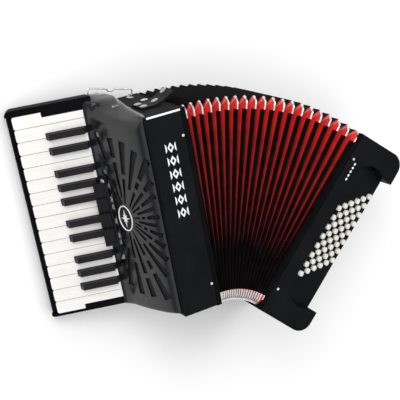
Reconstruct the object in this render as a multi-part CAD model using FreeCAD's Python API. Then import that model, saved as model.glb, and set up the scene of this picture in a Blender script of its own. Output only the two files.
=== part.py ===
"""Piano accordion lying on its back with the bellows fanned open.

Millimetres. X runs from the keyboard to the bass side, Y runs up along the keyboard and Z points
from the player's chest to the listener. The treble side is modelled with X = 0 at the bellows and
Y = 0 at the foot of the bellows. The bass side is modelled the same way in its own plane and then
turned about the centre of the fan. At the end everything is moved so that the origin lies under the
middle of the whole instrument.
"""
import FreeCAD, Part
import os
from math import atan2, cos, degrees, hypot, pi, radians, sin, tan

# Driving dimensions of the whole instrument.
KEY_PITCH = 19.5
WHITE_KEYS = 16
DEPTH = 175.0
BELLOWS_HEIGHT = 305.0
FOLD_TOP = 306.5
FOLD_TOP_GAIN = 3.5
WALL = 6.0

# The fan: folds between two end frames, all on planes through one centre below the bellows.
FOLDS = 18
FAN_ANGLE = 46.0
FAN_CENTRE_DROP = 79.2
CLOSED_WIDTH = 60.0
FAN_UNEVENNESS = -0.19
FOLD_WIDTH = 25.0
FOLD_CARD = 2.2

# The treble case and the grille.
CASE_LEFT = -61.0
FRAME_THICK = 8.0
CASE_BOTTOM = 1.7
CASE_TOP = 304.8
GRILLE_SKIN = 2.5
CAP_LOW = 317.8
CAP_HIGH = 321.3

# The keyboard slopes back from the grille to the key tips.
KEYS_TOP = 322.7
KEY_ROOT_X = -105.5
KEY_ROOT_Z = 63.0
KEY_SLOPE = radians(21.4)
WHITE_LENGTH = 108.5
BLACK_LENGTH = 64.5
BLACK_BACK = 8.2
BLACK_FRONT_SLOPE = 4.0
KEY_GAP = 0.8
WHITE_THICK = 11.0
BLACK_WIDTH = 9.6
BLACK_RISE = 9.0
BLACK_SLOT = 5.6
BED_TOP = -17.5
BED_BOTTOM = -21.0
RIM_OUTER = 117.0
CHEEK_WIDTH = 9.8
CHEEK_OVERHANG = 1.6
CHEEK_CORNER = 9.0
AXLE_ALONG = -9.0
AXLE_DOWN = -6.5
AXLE_RADIUS = 1.5
AXLE_CLEARANCE = 0.06

# Black keys stand over the joint below these white keys, spread a little within their group.
BLACK_SHIFTS = {2: 1.7, 3: -1.7, 5: 2.4, 6: 0.0, 7: -2.4, 9: 1.7, 10: -1.7, 12: 2.4, 13: 0.0, 14: -2.4}
# The joints at the two ends have a fixed filler block where a black key would stand.
FILLER_SHIFTS = {0: -2.4, 16: 1.7}

# The bass side and its buttons.
BASS_OUTER = 103.0
BASS_BOTTOM = -3.0
BASS_TOP = 314.0
BOARD_SLOPE = radians(20.5)
BOARD_INNER_X = 33.0
BOARD_INNER_Z = 172.0
BOARD_LOW_Y = 38.0
BOARD_HIGH_Y = 271.0
BOARD_THICK = 3.0
RECESS_CORNER = 12.0
BUTTON_COLUMNS = 6
BUTTON_ROWS = 8
BUTTON_RADIUS = 4.5
BUTTON_RISE = 4.5
BUTTON_STEP = 16.67
COLUMN_STEP = 11.4
COLUMN_SHIFT = 9.1

V = FreeCAD.Vector
X_AXIS = V(1, 0, 0)
Y_AXIS = V(0, 1, 0)
Z_AXIS = V(0, 0, 1)
FAN_CENTRE = V(0, -FAN_CENTRE_DROP, 0)

nodes = {}


def box(x_range, y_range, z_range):
    """A box between two values on each axis."""
    size = [b - a for a, b in (x_range, y_range, z_range)]
    return Part.makeBox(*size, V(x_range[0], y_range[0], z_range[0]))


def face_of(points):
    """A flat face round a closed row of points."""
    return Part.Face(Part.makePolygon(points + [points[0]]))


def prism_y(outline, y_low, y_high):
    """Extrude an (x, z) outline along Y."""
    face = face_of([V(x, y_low, z) for x, z in outline])
    return face.extrude(V(0, y_high - y_low, 0))


def prism_z(outline, z_low, z_high):
    """Extrude an (x, y) outline along Z."""
    face = face_of([V(x, y, z_low) for x, y in outline])
    return face.extrude(V(0, 0, z_high - z_low))


def rod(start, end, radius):
    """A round rod between two points."""
    run = end - start
    return Part.makeCylinder(radius, run.Length, start, run)


def fuse(first, *others):
    """Join solids into one."""
    return first.multiFuse(list(others)).removeSplitter()


def group(solids):
    """Keep several solids side by side in one node."""
    return Part.makeCompound(list(solids))


def ring(x_range, y_range, z_range, width):
    """A rectangular frame whose opening runs along X."""
    opening_y = (y_range[0] + width, y_range[1] - width)
    opening_z = (z_range[0] + width, z_range[1] - width)
    opening_x = (x_range[0] - 1, x_range[1] + 1)
    return box(x_range, y_range, z_range).cut(box(opening_x, opening_y, opening_z))


def edges_along(shape, direction, keep):
    """The straight edges parallel to a direction whose middle passes a test."""
    found = []
    for edge in shape.Edges:
        run = edge.Vertexes[-1].Point - edge.Vertexes[0].Point
        straight = run.Length > 0.01 and abs(run.normalize().dot(direction)) > 0.999
        if straight and keep(edge.CenterOfMass):
            found.append(edge)
    return found


# ---------------------------------------------------------------------------------------------
# Key frame: "along" runs from the grille to the key tips and "up" is square to the white keys.
ALONG = V(-cos(KEY_SLOPE), 0, -sin(KEY_SLOPE))
UP = V(-sin(KEY_SLOPE), 0, cos(KEY_SLOPE))


def on_key(along, up, y=0.0):
    """A point given in the key frame."""
    return V(KEY_ROOT_X, y, KEY_ROOT_Z) + ALONG * along + UP * up


def key_prism(outline, y_low, y_high):
    """Extrude an (along, up) outline across the keys."""
    face = face_of([on_key(along, up, y_low) for along, up in outline])
    return face.extrude(V(0, y_high - y_low, 0))


def key_plan(outline, up_low, up_high):
    """Extrude an (along, y) outline square to the white keys."""
    face = face_of([on_key(along, up_low, y) for along, y in outline])
    return face.extrude(UP * (up_high - up_low))


def white_span(number):
    """Lowest and highest y of white key number 1 to 16, counted from the top."""
    high = KEYS_TOP - KEY_PITCH * (number - 1)
    return high - KEY_PITCH, high


def pallet_place(y):
    """Pallets stand closer together than the keys, so that they all fit inside the case."""
    keyboard_middle = KEYS_TOP - KEY_PITCH * WHITE_KEYS / 2
    case_middle = (CASE_BOTTOM + CASE_TOP) / 2
    return case_middle + 0.88 * (y - keyboard_middle)


def key_lever(y, half_width, pallet_y, pallet_z):
    """Hub on the axle, cranked rod and felted pallet that covers a hole in the soundboard."""
    hub_outline = [(1.5, -2.0), (1.5, -WHITE_THICK), (-14.0, -WHITE_THICK), (-14.0, -2.0)]
    hub = key_prism(hub_outline, y - half_width, y + half_width)
    bend = V(-78.0, pallet_y, 72.0)
    pallet_foot = V(CASE_LEFT - 4.0, pallet_y, sum(pallet_z) / 2)
    pallet_x = (CASE_LEFT - 4.8, CASE_LEFT - 0.2)
    pallet = box(pallet_x, (pallet_y - 5.5, pallet_y + 5.5), pallet_z)
    crank = rod(on_key(-12.5, -6.0, y), bend, 1.2)
    arm = rod(bend, pallet_foot, 1.2)
    knuckle = Part.makeSphere(1.3, bend)
    return fuse(hub, crank, knuckle, arm, pallet)


def axle_hole(y):
    """The running hole for the key axle through one key."""
    centre = on_key(AXLE_ALONG, AXLE_DOWN, y - KEY_PITCH)
    return Part.makeCylinder(AXLE_RADIUS + AXLE_CLEARANCE, 2 * KEY_PITCH, centre, Y_AXIS)


def joint_slot(joint):
    """Lowest and highest y of the slot for a black key or a filler block, or None."""
    shifts = {**BLACK_SHIFTS, **FILLER_SHIFTS}
    if joint not in shifts:
        return None
    middle = KEYS_TOP - KEY_PITCH * joint + shifts[joint]
    return middle - BLACK_SLOT, middle + BLACK_SLOT


def black_middle(joint):
    """Middle y of the black key over the joint below the given white key."""
    return KEYS_TOP - KEY_PITCH * joint + BLACK_SHIFTS[joint]


def white_key(number):
    """A white key with the cut-outs for the black keys beside it."""
    low, high = white_span(number)
    low_side, high_side = low + KEY_GAP / 2, high - KEY_GAP / 2
    slot_below = joint_slot(number)
    slot_above = joint_slot(number - 1)
    neck_low = slot_below[1] if slot_below else low_side
    neck_high = slot_above[0] if slot_above else high_side
    shoulder = BLACK_LENGTH + 1.2
    outline = [(0.0, neck_low), (shoulder, neck_low), (shoulder, low_side)]
    outline += [(WHITE_LENGTH, low_side), (WHITE_LENGTH, high_side)]
    outline += [(shoulder, high_side), (shoulder, neck_high), (0.0, neck_high)]
    plan = []
    for point in outline:
        if point not in plan:
            plan.append(point)
    body = key_plan(plan, -WHITE_THICK, 0.0)
    tip_x = on_key(WHITE_LENGTH, -WHITE_THICK / 2).x
    tip_edges = edges_along(body, UP, lambda p: abs(p.x - tip_x) < 0.5)
    body = body.makeFillet(3.0, tip_edges)
    neck_middle = (neck_low + neck_high) / 2
    lever = key_lever(neck_middle, 3.6, pallet_place((low + high) / 2), WHITE_PALLET_Z)
    return fuse(body, lever).cut(axle_hole(neck_middle))


def black_key(white_above):
    """A black key over the joint below the given white key, low at the back and raised in front."""
    y = black_middle(white_above)
    half = BLACK_WIDTH / 2
    side = [(1.0, -WHITE_THICK), (BLACK_LENGTH, -WHITE_THICK), (BLACK_LENGTH, 0.8)]
    side += [(BLACK_LENGTH - BLACK_FRONT_SLOPE, BLACK_RISE), (BLACK_BACK, BLACK_RISE)]
    side += [(BLACK_BACK, -0.8), (1.0, -0.8)]
    body = key_prism(side, y - half, y + half)
    top_edges = edges_along(body, ALONG, lambda p: (p - on_key(35, 0, y)).dot(UP) > BLACK_RISE - 0.5)
    body = body.makeChamfer(1.1, top_edges)
    lever = key_lever(y, 2.6, pallet_place(y), BLACK_PALLET_Z)
    return fuse(body, lever).cut(axle_hole(y))


def make_keys():
    for number in range(1, WHITE_KEYS + 1):
        nodes["white_key_%02d" % number] = white_key(number)
    for index, white_above in enumerate(BLACK_SHIFTS):
        nodes["black_key_%02d" % (index + 1)] = black_key(white_above)


def make_keyboard_bed():
    """Sloping board under the keys, rim at the tips, cheeks at both ends and filler blocks."""
    top_y = KEYS_TOP + CHEEK_WIDTH
    low_y = KEYS_TOP - KEY_PITCH * WHITE_KEYS - 4.4
    rim_inner = WHITE_LENGTH + 1.0
    inner_low = (KEY_ROOT_X - CASE_LEFT - sin(KEY_SLOPE) * BED_BOTTOM) / cos(KEY_SLOPE)
    inner_top = (KEY_ROOT_X - CASE_LEFT - sin(KEY_SLOPE) * BED_TOP) / cos(KEY_SLOPE)
    board_side = [(rim_inner, BED_TOP), (rim_inner, -5.0), (RIM_OUTER - 2.0, -4.0)]
    board_side += [(RIM_OUTER, -7.0), (RIM_OUTER, BED_BOTTOM)]
    board_side += [(inner_low, BED_BOTTOM), (inner_top, BED_TOP)]
    board = key_prism(board_side, low_y, top_y)
    cheek_tip = RIM_OUTER + CHEEK_OVERHANG
    cheek_side = [(-14.0, BED_TOP), (cheek_tip - 3.0, BED_TOP), (cheek_tip, -10.0), (cheek_tip, -5.0)]
    cheek_side += [(cheek_tip - 5.0, -0.5), (-1.5, -0.5), (-14.0, -1.5)]
    first_low = KEYS_TOP - KEY_PITCH * WHITE_KEYS
    low_cheek = key_prism(cheek_side, low_y, first_low)
    high_cheek = key_prism(cheek_side, KEYS_TOP, top_y)
    filler_side = [(1.0, BED_TOP), (BLACK_LENGTH, BED_TOP), (BLACK_LENGTH, -0.5), (1.0, -0.5)]
    low_filler = key_prism(filler_side, first_low, joint_slot(WHITE_KEYS)[1] - KEY_GAP)
    high_filler = key_prism(filler_side, joint_slot(0)[0] + KEY_GAP, KEYS_TOP)
    bed = fuse(board, low_cheek, high_cheek, low_filler, high_filler)
    corner_start = cheek_tip - CHEEK_CORNER
    corner_low = top_y - CHEEK_CORNER
    corner_plan = [(corner_start, corner_low), (cheek_tip + 1, corner_low)]
    corner_plan += [(cheek_tip + 1, top_y + 1), (corner_start, top_y + 1)]
    corner = key_plan(corner_plan, BED_BOTTOM - 1, 1.0)
    corner_foot = on_key(corner_start, BED_BOTTOM - 2, corner_low)
    bed = bed.cut(corner.cut(Part.makeCylinder(CHEEK_CORNER, 30.0, corner_foot, UP)))
    bearing_top = CAP_HIGH - 0.2
    bed = bed.cut(box((KEY_ROOT_X + 9.0, 0.0), (bearing_top, top_y + 1), (0.0, 90.0)))
    bearing_side = [(-14.0, BED_TOP), (-2.0, BED_TOP), (-2.0, -1.5), (-14.0, -1.5)]
    bed = fuse(bed, key_prism(bearing_side, KEYS_TOP - 5.7, bearing_top))
    axle_start = on_key(AXLE_ALONG, AXLE_DOWN, low_y)
    axle = Part.makeCylinder(AXLE_RADIUS, bearing_top - low_y, axle_start, Y_AXIS)
    nodes["keyboard_bed"] = bed.cut(axle)
    nodes["key_axle"] = axle


# ---------------------------------------------------------------------------------------------
# Treble case, soundboard, reeds, grille and fittings.
def make_treble_case():
    """Four wooden walls, open to the bellows and closed by the soundboard on the other side."""
    case = ring((CASE_LEFT, -FRAME_THICK), (CASE_BOTTOM, CASE_TOP), (0.0, DEPTH), WALL)
    nodes["treble_case"] = case
    strip_y = (CASE_TOP - 3.2, CASE_TOP - 0.4)
    strip = box((CASE_LEFT + 0.5, -FRAME_THICK - 0.5), strip_y, (DEPTH, DEPTH + 0.9))
    nodes["treble_trim_strip"] = strip
    frame = ring((-FRAME_THICK, 0.0), (0.5, BELLOWS_HEIGHT - 0.5), (0.5, DEPTH - 0.5), 14.0)
    nodes["treble_bellows_frame"] = frame
    nodes["treble_bellows_pins"] = bellows_pins(-11.0, 266.0)


def bellows_pins(x, high_y):
    """Heads of the two bright pins that hold the bellows frame at the front."""
    return group(Part.makeCylinder(2.0, 0.9, V(x, y, DEPTH)) for y in (38.2, high_y))


def key_places():
    """The y and the z range of every pallet."""
    places = []
    for number in range(1, WHITE_KEYS + 1):
        low, high = white_span(number)
        places.append((pallet_place((low + high) / 2), WHITE_PALLET_Z))
    for white_above in BLACK_SHIFTS:
        places.append((pallet_place(black_middle(white_above)), BLACK_PALLET_Z))
    return places


def make_treble_reeds():
    """Soundboard with a hole under each pallet, and two reed blocks with their reed plates."""
    inner_y = (CASE_BOTTOM + WALL, CASE_TOP - WALL)
    board = box((CASE_LEFT, CASE_LEFT + 5.0), inner_y, (WALL, DEPTH - WALL))
    holes = []
    for y, (low, high) in key_places():
        holes.append(box((CASE_LEFT - 1, CASE_LEFT + 6), (y - 3.5, y + 3.5), (low + 3, high - 3)))
    nodes["treble_soundboard"] = board.cut(group(holes))
    block_x = (CASE_LEFT + 5.0, -20.0)
    block_y = (inner_y[0] + 6.0, inner_y[1] - 6.0)
    blocks = []
    for z in (84.0, 112.0):
        block = box(block_x, block_y, (z, z + 18.0))
        cells = []
        for index in range(WHITE_KEYS):
            y = block_y[0] + (index + 0.5) * (block_y[1] - block_y[0]) / WHITE_KEYS
            cells.append(box((block_x[0] - 1, -24.0), (y - 6.5, y + 6.5), (z + 4.0, z + 14.0)))
        blocks.append(block.cut(group(cells)))
    nodes["treble_reed_blocks"] = group(blocks)


def make_cap():
    """Raised part of the cover over the key roots and over the back corner of the case."""
    root_wall = box((KEY_ROOT_X + 12.5, CASE_LEFT - 0.3), (CAP_LOW, CAP_HIGH), (4.0, 66.5))
    root_wall = max(root_wall.cut(nodes["keyboard_bed"]).Solids, key=lambda part: part.Volume)
    left = CASE_LEFT + 0.2
    front = V(left, CASE_TOP, DEPTH - 3.0)
    back_low = V(left, CASE_TOP, 0.0)
    back_right = V(-27.0, CASE_TOP, 0.0)
    back_high = V(left, CAP_HIGH - 1.5, 0.0)
    corners = [(front, back_low, back_right), (front, back_low, back_high)]
    corners += [(back_low, back_right, back_high), (front, back_right, back_high)]
    ridge = Part.Solid(Part.Shell([face_of(list(corner)) for corner in corners]))
    return root_wall, ridge


# Side outline of the grille in (x, z), from the flared foot over the keys to the panel.
GRILLE_PROFILE = [(-111.0, 62.4), (-106.8, 68.0), (-102.5, 77.5), (-98.8, 91.0), (-91.5, 115.0)]
GRILLE_PROFILE += [(-81.5, 141.0)]
GRILLE_PROFILE += [(-74.0, 156.0), (-67.5, 165.0), (-63.0, 167.0)]
# Top outline of the grille in (y, z), from the keys to the front.
GRILLE_TOP = [(322.0, 60.0), (312.0, 77.0), (306.0, 95.0), (300.5, 118.0), (296.5, 141.0)]
GRILLE_TOP += [(295.0, 153.0), (294.0, 175.0)]
GRILLE_LOW = 5.5
BADGE_CENTRE = V(-94.6, 151.5, 105.0)
# The wall of the grille leans back by this angle. WALL_OUT is square to it, WALL_ACROSS in it.
WALL_LEAN = radians(22)
WALL_OUT = V(-cos(WALL_LEAN), 0, sin(WALL_LEAN))
WALL_ACROSS = V(sin(WALL_LEAN), 0, cos(WALL_LEAN))


def spline_region(points, closing):
    """A face bounded by a smooth curve through points and straight lines through the rest."""
    curve = Part.BSplineCurve()
    curve.interpolate(points)
    corners = [points[-1]] + closing + [points[0]]
    lines = Part.makePolygon(corners)
    return Part.Face(Part.Wire([curve.toShape()] + lines.Edges))


def grille_block(inset):
    """The solid outer form of the grille, drawn in by an inset."""
    side = [V(x, 0, z) - WALL_OUT * inset for x, z in GRILLE_PROFILE]
    right = CASE_LEFT - 0.3 if inset == 0 else CASE_LEFT + 1.0
    foot = GRILLE_PROFILE[0][1] - (0.0 if inset == 0 else 3.0)
    closing = [V(right, 0, side[-1].z), V(right, 0, foot), V(side[0].x, 0, foot)]
    side_face = spline_region(side, closing)
    along_keys = side_face.extrude(V(0, KEYS_TOP + 20, 0))
    top = [V(-120, y - inset, z) for y, z in GRILLE_TOP]
    low = GRILLE_LOW + inset
    closing = [V(-120, low, GRILLE_TOP[-1][1]), V(-120, low, 40.0), V(-120, top[0].y, 40.0)]
    end_face = spline_region(top, closing)
    return along_keys.common(end_face.extrude(V(80, 0, 0)))


def ray_slot(angle, near, far, spread):
    """A tapered slot that points away from the badge, cut square to the slanted wall."""
    ray = WALL_ACROSS * cos(angle) + Y_AXIS * sin(angle)
    side = WALL_ACROSS * -sin(angle) + Y_AXIS * cos(angle)
    start = BADGE_CENTRE - WALL_OUT * 30
    corners = [start + ray * near - side * near * spread, start + ray * far - side * far * spread]
    corners += [start + ray * far + side * far * spread, start + ray * near + side * near * spread]
    return face_of(corners).extrude(WALL_OUT * 60)


def ray_reach(angle):
    """How far a ray runs before it meets the plain border of the grille."""
    right, left, top, low = 58.0, 30.0, 118.0, 124.0
    reach_across = (right if cos(angle) > 0 else left) / max(abs(cos(angle)), 0.01)
    reach_up = (top if sin(angle) > 0 else low) / max(abs(sin(angle)), 0.01)
    return min(reach_across, reach_up)


def grille_slots():
    """Sunburst of broken slots round the badge."""
    slots = []
    rays = 30
    for index in range(rays):
        angle = 2 * pi * (index + 0.5) / rays
        reach = ray_reach(angle)
        clear = hypot(18.0 * cos(angle), 23.0 * sin(angle))
        if reach - clear < 14.0:
            continue
        spread = tan(pi / rays) * 0.46
        breaks = (0.48, 0.53) if index % 2 else (0.34, 0.68)
        last = clear
        for part in breaks + (1.0,):
            end = reach * part
            if end - last > 6.0:
                slots.append(ray_slot(angle, last, end, spread))
            last = max(last, end) + 4.0
    return slots


def make_grille():
    """Slotted cover over the levers, with a cloth behind it and a plain oval badge."""
    shell = grille_block(0.0).cut(grille_block(GRILLE_SKIN))
    over_keys = key_prism([(-16.0, -40.0), (30.0, -40.0), (30.0, 0.9), (-16.0, 0.9)], 0.0, KEYS_TOP)
    shell = shell.cut(over_keys)
    notch = box((-112.0, -98.5), (104.0, 208.0), (60.0, 82.0))
    slotted = shell.cut(notch).cut(group(grille_slots()))
    slotted = max(slotted.Solids, key=lambda part: part.Volume)
    root_wall, ridge = make_cap()
    nodes["treble_grille"] = group([slotted.cut(root_wall), root_wall, ridge])
    cloth_block = grille_block(GRILLE_SKIN + 0.3)
    inside = cloth_block.translated(V(0.7, 0, -0.6))
    cloth_block = cloth_block.cut(inside)
    window = box((-110.0, CASE_LEFT - 3), (20.0, 284.0), (84.0, DEPTH))
    nodes["grille_cloth"] = cloth_block.common(window)
    disc = Part.makeCylinder(20.0, 3.0, V(0, 0, 0), Z_AXIS)
    stretch = FreeCAD.Matrix()
    stretch.scale(0.70, 1.0, 1.0)
    oval = disc.transformGeometry(stretch)
    oval.rotate(V(0, 0, 0), Y_AXIS, degrees(atan2(WALL_OUT.x, WALL_OUT.z)))
    oval.translate(BADGE_CENTRE + WALL_OUT * 0.6)
    nodes["grille_badge"] = oval.cut(grille_block(0.0))


WHITE_PALLET_Z = (82.0, 104.0)
BLACK_PALLET_Z = (110.0, 132.0)
REGISTER_MIDDLE = 148.0
REGISTER_STEP = 24.0
REGISTER_UP = 10.6
SWITCH_ALONG = 4.5


def make_registers():
    """Raised plate over the inner ends of the keys, with three rocker switches on it."""
    plate_side = [(-5.0, REGISTER_UP), (14.0, REGISTER_UP), (14.0, REGISTER_UP + 2.0)]
    plate_side += [(-5.0, REGISTER_UP + 2.0)]
    low_y = REGISTER_MIDDLE - 1.75 * REGISTER_STEP
    high_y = REGISTER_MIDDLE + 2.35 * REGISTER_STEP
    plate = key_prism(plate_side, low_y, high_y)
    back_side = [(-7.0, 3.5), (-4.2, 3.5), (-4.2, REGISTER_UP + 6.0), (-7.0, REGISTER_UP + 6.0)]
    back = key_prism(back_side, low_y, high_y)
    ears = []
    switches = []
    for index in (-1, 0, 1):
        y = REGISTER_MIDDLE + REGISTER_STEP * index
        pivot = on_key(SWITCH_ALONG, REGISTER_UP + 4.4, y)
        for side in (-1, 1):
            ear_y = y + side * 11.0
            ear_side = [(SWITCH_ALONG - 2.5, REGISTER_UP + 2.0), (SWITCH_ALONG + 2.5, REGISTER_UP + 2.0)]
            ear_side += [(SWITCH_ALONG + 1.6, REGISTER_UP + 5.6), (SWITCH_ALONG - 1.6, REGISTER_UP + 5.6)]
            ears.append(key_prism(ear_side, ear_y - 0.7, ear_y + 0.7))
        ears.append(Part.makeCylinder(0.8, 20.6, pivot - Y_AXIS * 10.3, Y_AXIS))
        cap_side = [(SWITCH_ALONG - 7.5, REGISTER_UP + 4.6), (SWITCH_ALONG - 1.8, REGISTER_UP + 3.0)]
        cap_side += [(SWITCH_ALONG + 1.8, REGISTER_UP + 3.0), (SWITCH_ALONG + 8.5, REGISTER_UP + 4.6)]
        cap_side += [(SWITCH_ALONG + 8.5, REGISTER_UP + 7.4), (SWITCH_ALONG, REGISTER_UP + 6.2)]
        cap_side += [(SWITCH_ALONG - 7.5, REGISTER_UP + 7.4)]
        cap = key_prism(cap_side, y - 9.8, y + 9.8)
        bore = Part.makeCylinder(0.86, 24.0, pivot - Y_AXIS * 12.0, Y_AXIS)
        switches.append(cap.cut(bore))
    nodes["register_plate"] = fuse(plate, back, *ears)
    for index, switch in enumerate(switches):
        nodes["register_switch_%d" % (index + 1)] = switch


BAIL_LEFT = V(-86.0, CAP_HIGH + 5.2, 32.0)
BAIL_RIGHT = V(-22.0, CASE_TOP + 3.9, 25.0)
BAIL_WIRE = 1.2
BAIL_PLAY = 0.2
BAIL_OVERHANG = 3.3
LUG_HALF = 1.0
BAIL_HEIGHT = 10.2
BAIL_DIP = 3.4


def bail_bracket(pivot, base_y):
    """Plate and lug that hold one end of the bail."""
    foot = box((pivot.x - 3.5, pivot.x + 3.5), (base_y, base_y + 1.4), (pivot.z - 8.0, pivot.z + 8.0))
    lug_x = (pivot.x - LUG_HALF, pivot.x + LUG_HALF)
    lug = box(lug_x, (base_y + 1.4, pivot.y + 2.4), (pivot.z - 3.0, pivot.z + 3.0))
    way = (BAIL_RIGHT - BAIL_LEFT).normalize()
    return fuse(foot, lug).cut(rod(pivot - way * 5, pivot + way * 5, BAIL_WIRE + BAIL_PLAY))


def lower_bracket(z):
    """Button under the case for the lower end of a shoulder strap."""
    x = CASE_LEFT + 28.0
    foot = box((x - 8, x + 8), (CASE_BOTTOM - 1.5, CASE_BOTTOM), (z - 8, z + 8))
    stud = rod(V(x, CASE_BOTTOM - 1.5, z), V(x, CASE_BOTTOM - 7, z), 2.5)
    knob = rod(V(x, CASE_BOTTOM - 7, z), V(x, CASE_BOTTOM - 9, z), 5.0)
    return fuse(foot, stud, knob)


def make_strap_fittings():
    """Wire bail for the shoulder straps on two brackets, and two buttons below for the same straps."""
    brackets = [bail_bracket(BAIL_LEFT, CAP_HIGH), bail_bracket(BAIL_RIGHT, CASE_TOP)]
    brackets += [lower_bracket(25.0), lower_bracket(DEPTH - 40.0)]
    nodes["strap_brackets"] = group(brackets)
    way = (BAIL_RIGHT - BAIL_LEFT).normalize()
    rise = V(-way.y, way.x, 0).normalize()
    middle = (BAIL_LEFT + BAIL_RIGHT) * 0.5
    half = (BAIL_RIGHT - BAIL_LEFT).Length / 2 + BAIL_OVERHANG
    low_part = BAIL_HEIGHT - BAIL_DIP
    bends = [(-half, 0.0), (-half, BAIL_HEIGHT), (-6.5, BAIL_HEIGHT), (-4.0, low_part)]
    bends += [(4.0, low_part), (6.5, BAIL_HEIGHT), (half, BAIL_HEIGHT), (half, 0.0)]
    route = [middle + way * across + rise * up for across, up in bends]
    pieces = [rod(BAIL_LEFT + way * 3.0, route[0], BAIL_WIRE)]
    pieces += [rod(start, end, BAIL_WIRE) for start, end in zip(route, route[1:])]
    pieces.append(rod(route[-1], BAIL_RIGHT - way * 3.0, BAIL_WIRE))
    pieces += [Part.makeSphere(BAIL_WIRE, point) for point in route]
    nodes["strap_bail"] = fuse(*pieces)


STRAP_Z = 105.0
STRAP_WIDTH = 40.0


def make_top_strap():
    """Leather strap that holds the bellows shut, undone, with its free end standing up."""
    low = CASE_TOP
    outline = [(-44.0, low), (-22.0, low), (-6.0, low + 4.2), (10.0, low + 13.5)]
    outline += [(8.6, low + 16.0), (-8.0, low + 7.0), (-23.0, low + 2.6), (-44.0, low + 2.6)]
    half = STRAP_WIDTH / 2
    nodes["top_bellows_strap"] = prism_z(outline, STRAP_Z - half, STRAP_Z + half)


# ---------------------------------------------------------------------------------------------
# Bellows.
def fold_angle(index):
    """Angle of one fold's plane from the treble frame. The folds open a little more further out."""
    share = index / (FOLDS + 1.0)
    return FAN_ANGLE * (share + FAN_UNEVENNESS * share * (1 - share))


def make_bellows():
    """One open rectangular card frame on each fold, all turned about the centre of the fan."""
    frames = []
    for index in range(1, FOLDS + 1):
        half = FOLD_CARD / 2
        top = FOLD_TOP + FOLD_TOP_GAIN * index / (FOLDS + 1)
        fold = ring((-half, half), (0.0, top), (0.8, DEPTH - 0.8), FOLD_WIDTH)
        fold.rotate(FAN_CENTRE, Z_AXIS, -fold_angle(index))
        frames.append(fold)
    nodes["bellows_folds"] = group(frames)


# ---------------------------------------------------------------------------------------------
# Bass side, in its own plane with X = 0 at the bellows.
BOARD_OUT = V(cos(BOARD_SLOPE), 0, -sin(BOARD_SLOPE))
BOARD_NORMAL = V(sin(BOARD_SLOPE), 0, cos(BOARD_SLOPE))


def on_board(out, rise, y=0.0):
    """A point given along the slope of the button board and above its surface."""
    return V(BOARD_INNER_X, y, BOARD_INNER_Z) + BOARD_OUT * out + BOARD_NORMAL * rise


def board_prism(outline, y_low, y_high):
    """Extrude an (out, rise) outline along Y."""
    face = face_of([on_board(out, rise, y_low) for out, rise in outline])
    return face.extrude(V(0, y_high - y_low, 0))


def bass_outline(inset):
    """Front view of the bass case: square to the bellows, round at the two outer corners."""
    radius = 22.0
    left = FRAME_THICK
    right = BASS_OUTER - inset
    low = BASS_BOTTOM + inset
    high = BASS_TOP + 1 - inset
    corner = radius - inset
    half = corner * (1 - cos(radians(45)))
    parts = [Part.LineSegment(V(left, low, 0), V(right - corner, low, 0))]
    arc_low = (V(right - corner, low, 0), V(right - half, low + half, 0), V(right, low + corner, 0))
    arc_high = (V(right, high - corner, 0), V(right - half, high - half, 0), V(right - corner, high, 0))
    parts.append(Part.Arc(*arc_low))
    parts.append(Part.LineSegment(arc_low[-1], arc_high[0]))
    parts.append(Part.Arc(*arc_high))
    parts.append(Part.LineSegment(V(right - corner, high, 0), V(left, high - 5.0, 0)))
    parts.append(Part.LineSegment(V(left, high - 5.0, 0), V(left, low, 0)))
    return Part.Face(Part.Wire([part.toShape() for part in parts]))


def bass_side_form(inset):
    """Side view of the bass case: the front rolls over to the outer side in a quarter ellipse."""
    flat_end, roll_start = 65.0, 145.0
    wide = BASS_OUTER - flat_end - inset
    deep = DEPTH - roll_start - inset
    points = []
    for step in range(13):
        angle = radians(90.0 * step / 12)
        points.append(V(flat_end + wide * cos(angle), -50, roll_start + deep * sin(angle)))
    closing = [V(0, -50, DEPTH - inset), V(0, -50, 0), V(BASS_OUTER - inset, -50, 0)]
    return spline_region(points, closing).extrude(V(0, 450, 0))


def on_front_rim(edge):
    """Whether an edge runs between the front and the top, bottom or round corners."""
    middle = edge.CenterOfMass
    near_end = middle.y > BASS_TOP - 30 or middle.y < BASS_BOTTOM + 30
    return near_end and edge.BoundBox.ZMin > 20.0 and middle.x > FRAME_THICK + 1


def lobe_scoop(chord_y, way):
    """Shallow round scoop in the wall at one end of the recess, above the button board."""
    chord, depth = 41.4, 6.8
    radius = (chord ** 2 / 4 + depth ** 2) / (2 * depth)
    centre = V(BOARD_INNER_X + 28.3, chord_y + way * (depth - radius), 0)
    above = board_prism([(-14.0, 0.0), (120.0, 0.0), (120.0, 80.0), (-14.0, 80.0)], -50, 400)
    return Part.makeCylinder(radius, 300.0, centre).common(above)


def button_recess():
    """The room above the button board, open to the front and the outer side, round at its corners."""
    side = [(-14.0, -BOARD_THICK), (120.0, -BOARD_THICK), (120.0, 60.0), (-14.0, 60.0)]
    keep_clear = box((BOARD_INNER_X, 200.0), (-50.0, 400.0), (0.0, 300.0))
    recess = board_prism(side, BOARD_LOW_Y, BOARD_HIGH_Y).common(keep_clear)
    corners = edges_along(recess, Z_AXIS, lambda p: p.x < BOARD_INNER_X + 0.1)
    recess = recess.makeFillet(RECESS_CORNER, corners)
    return recess.fuse([lobe_scoop(BOARD_HIGH_Y, 1), lobe_scoop(BOARD_LOW_Y, -1)])


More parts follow.
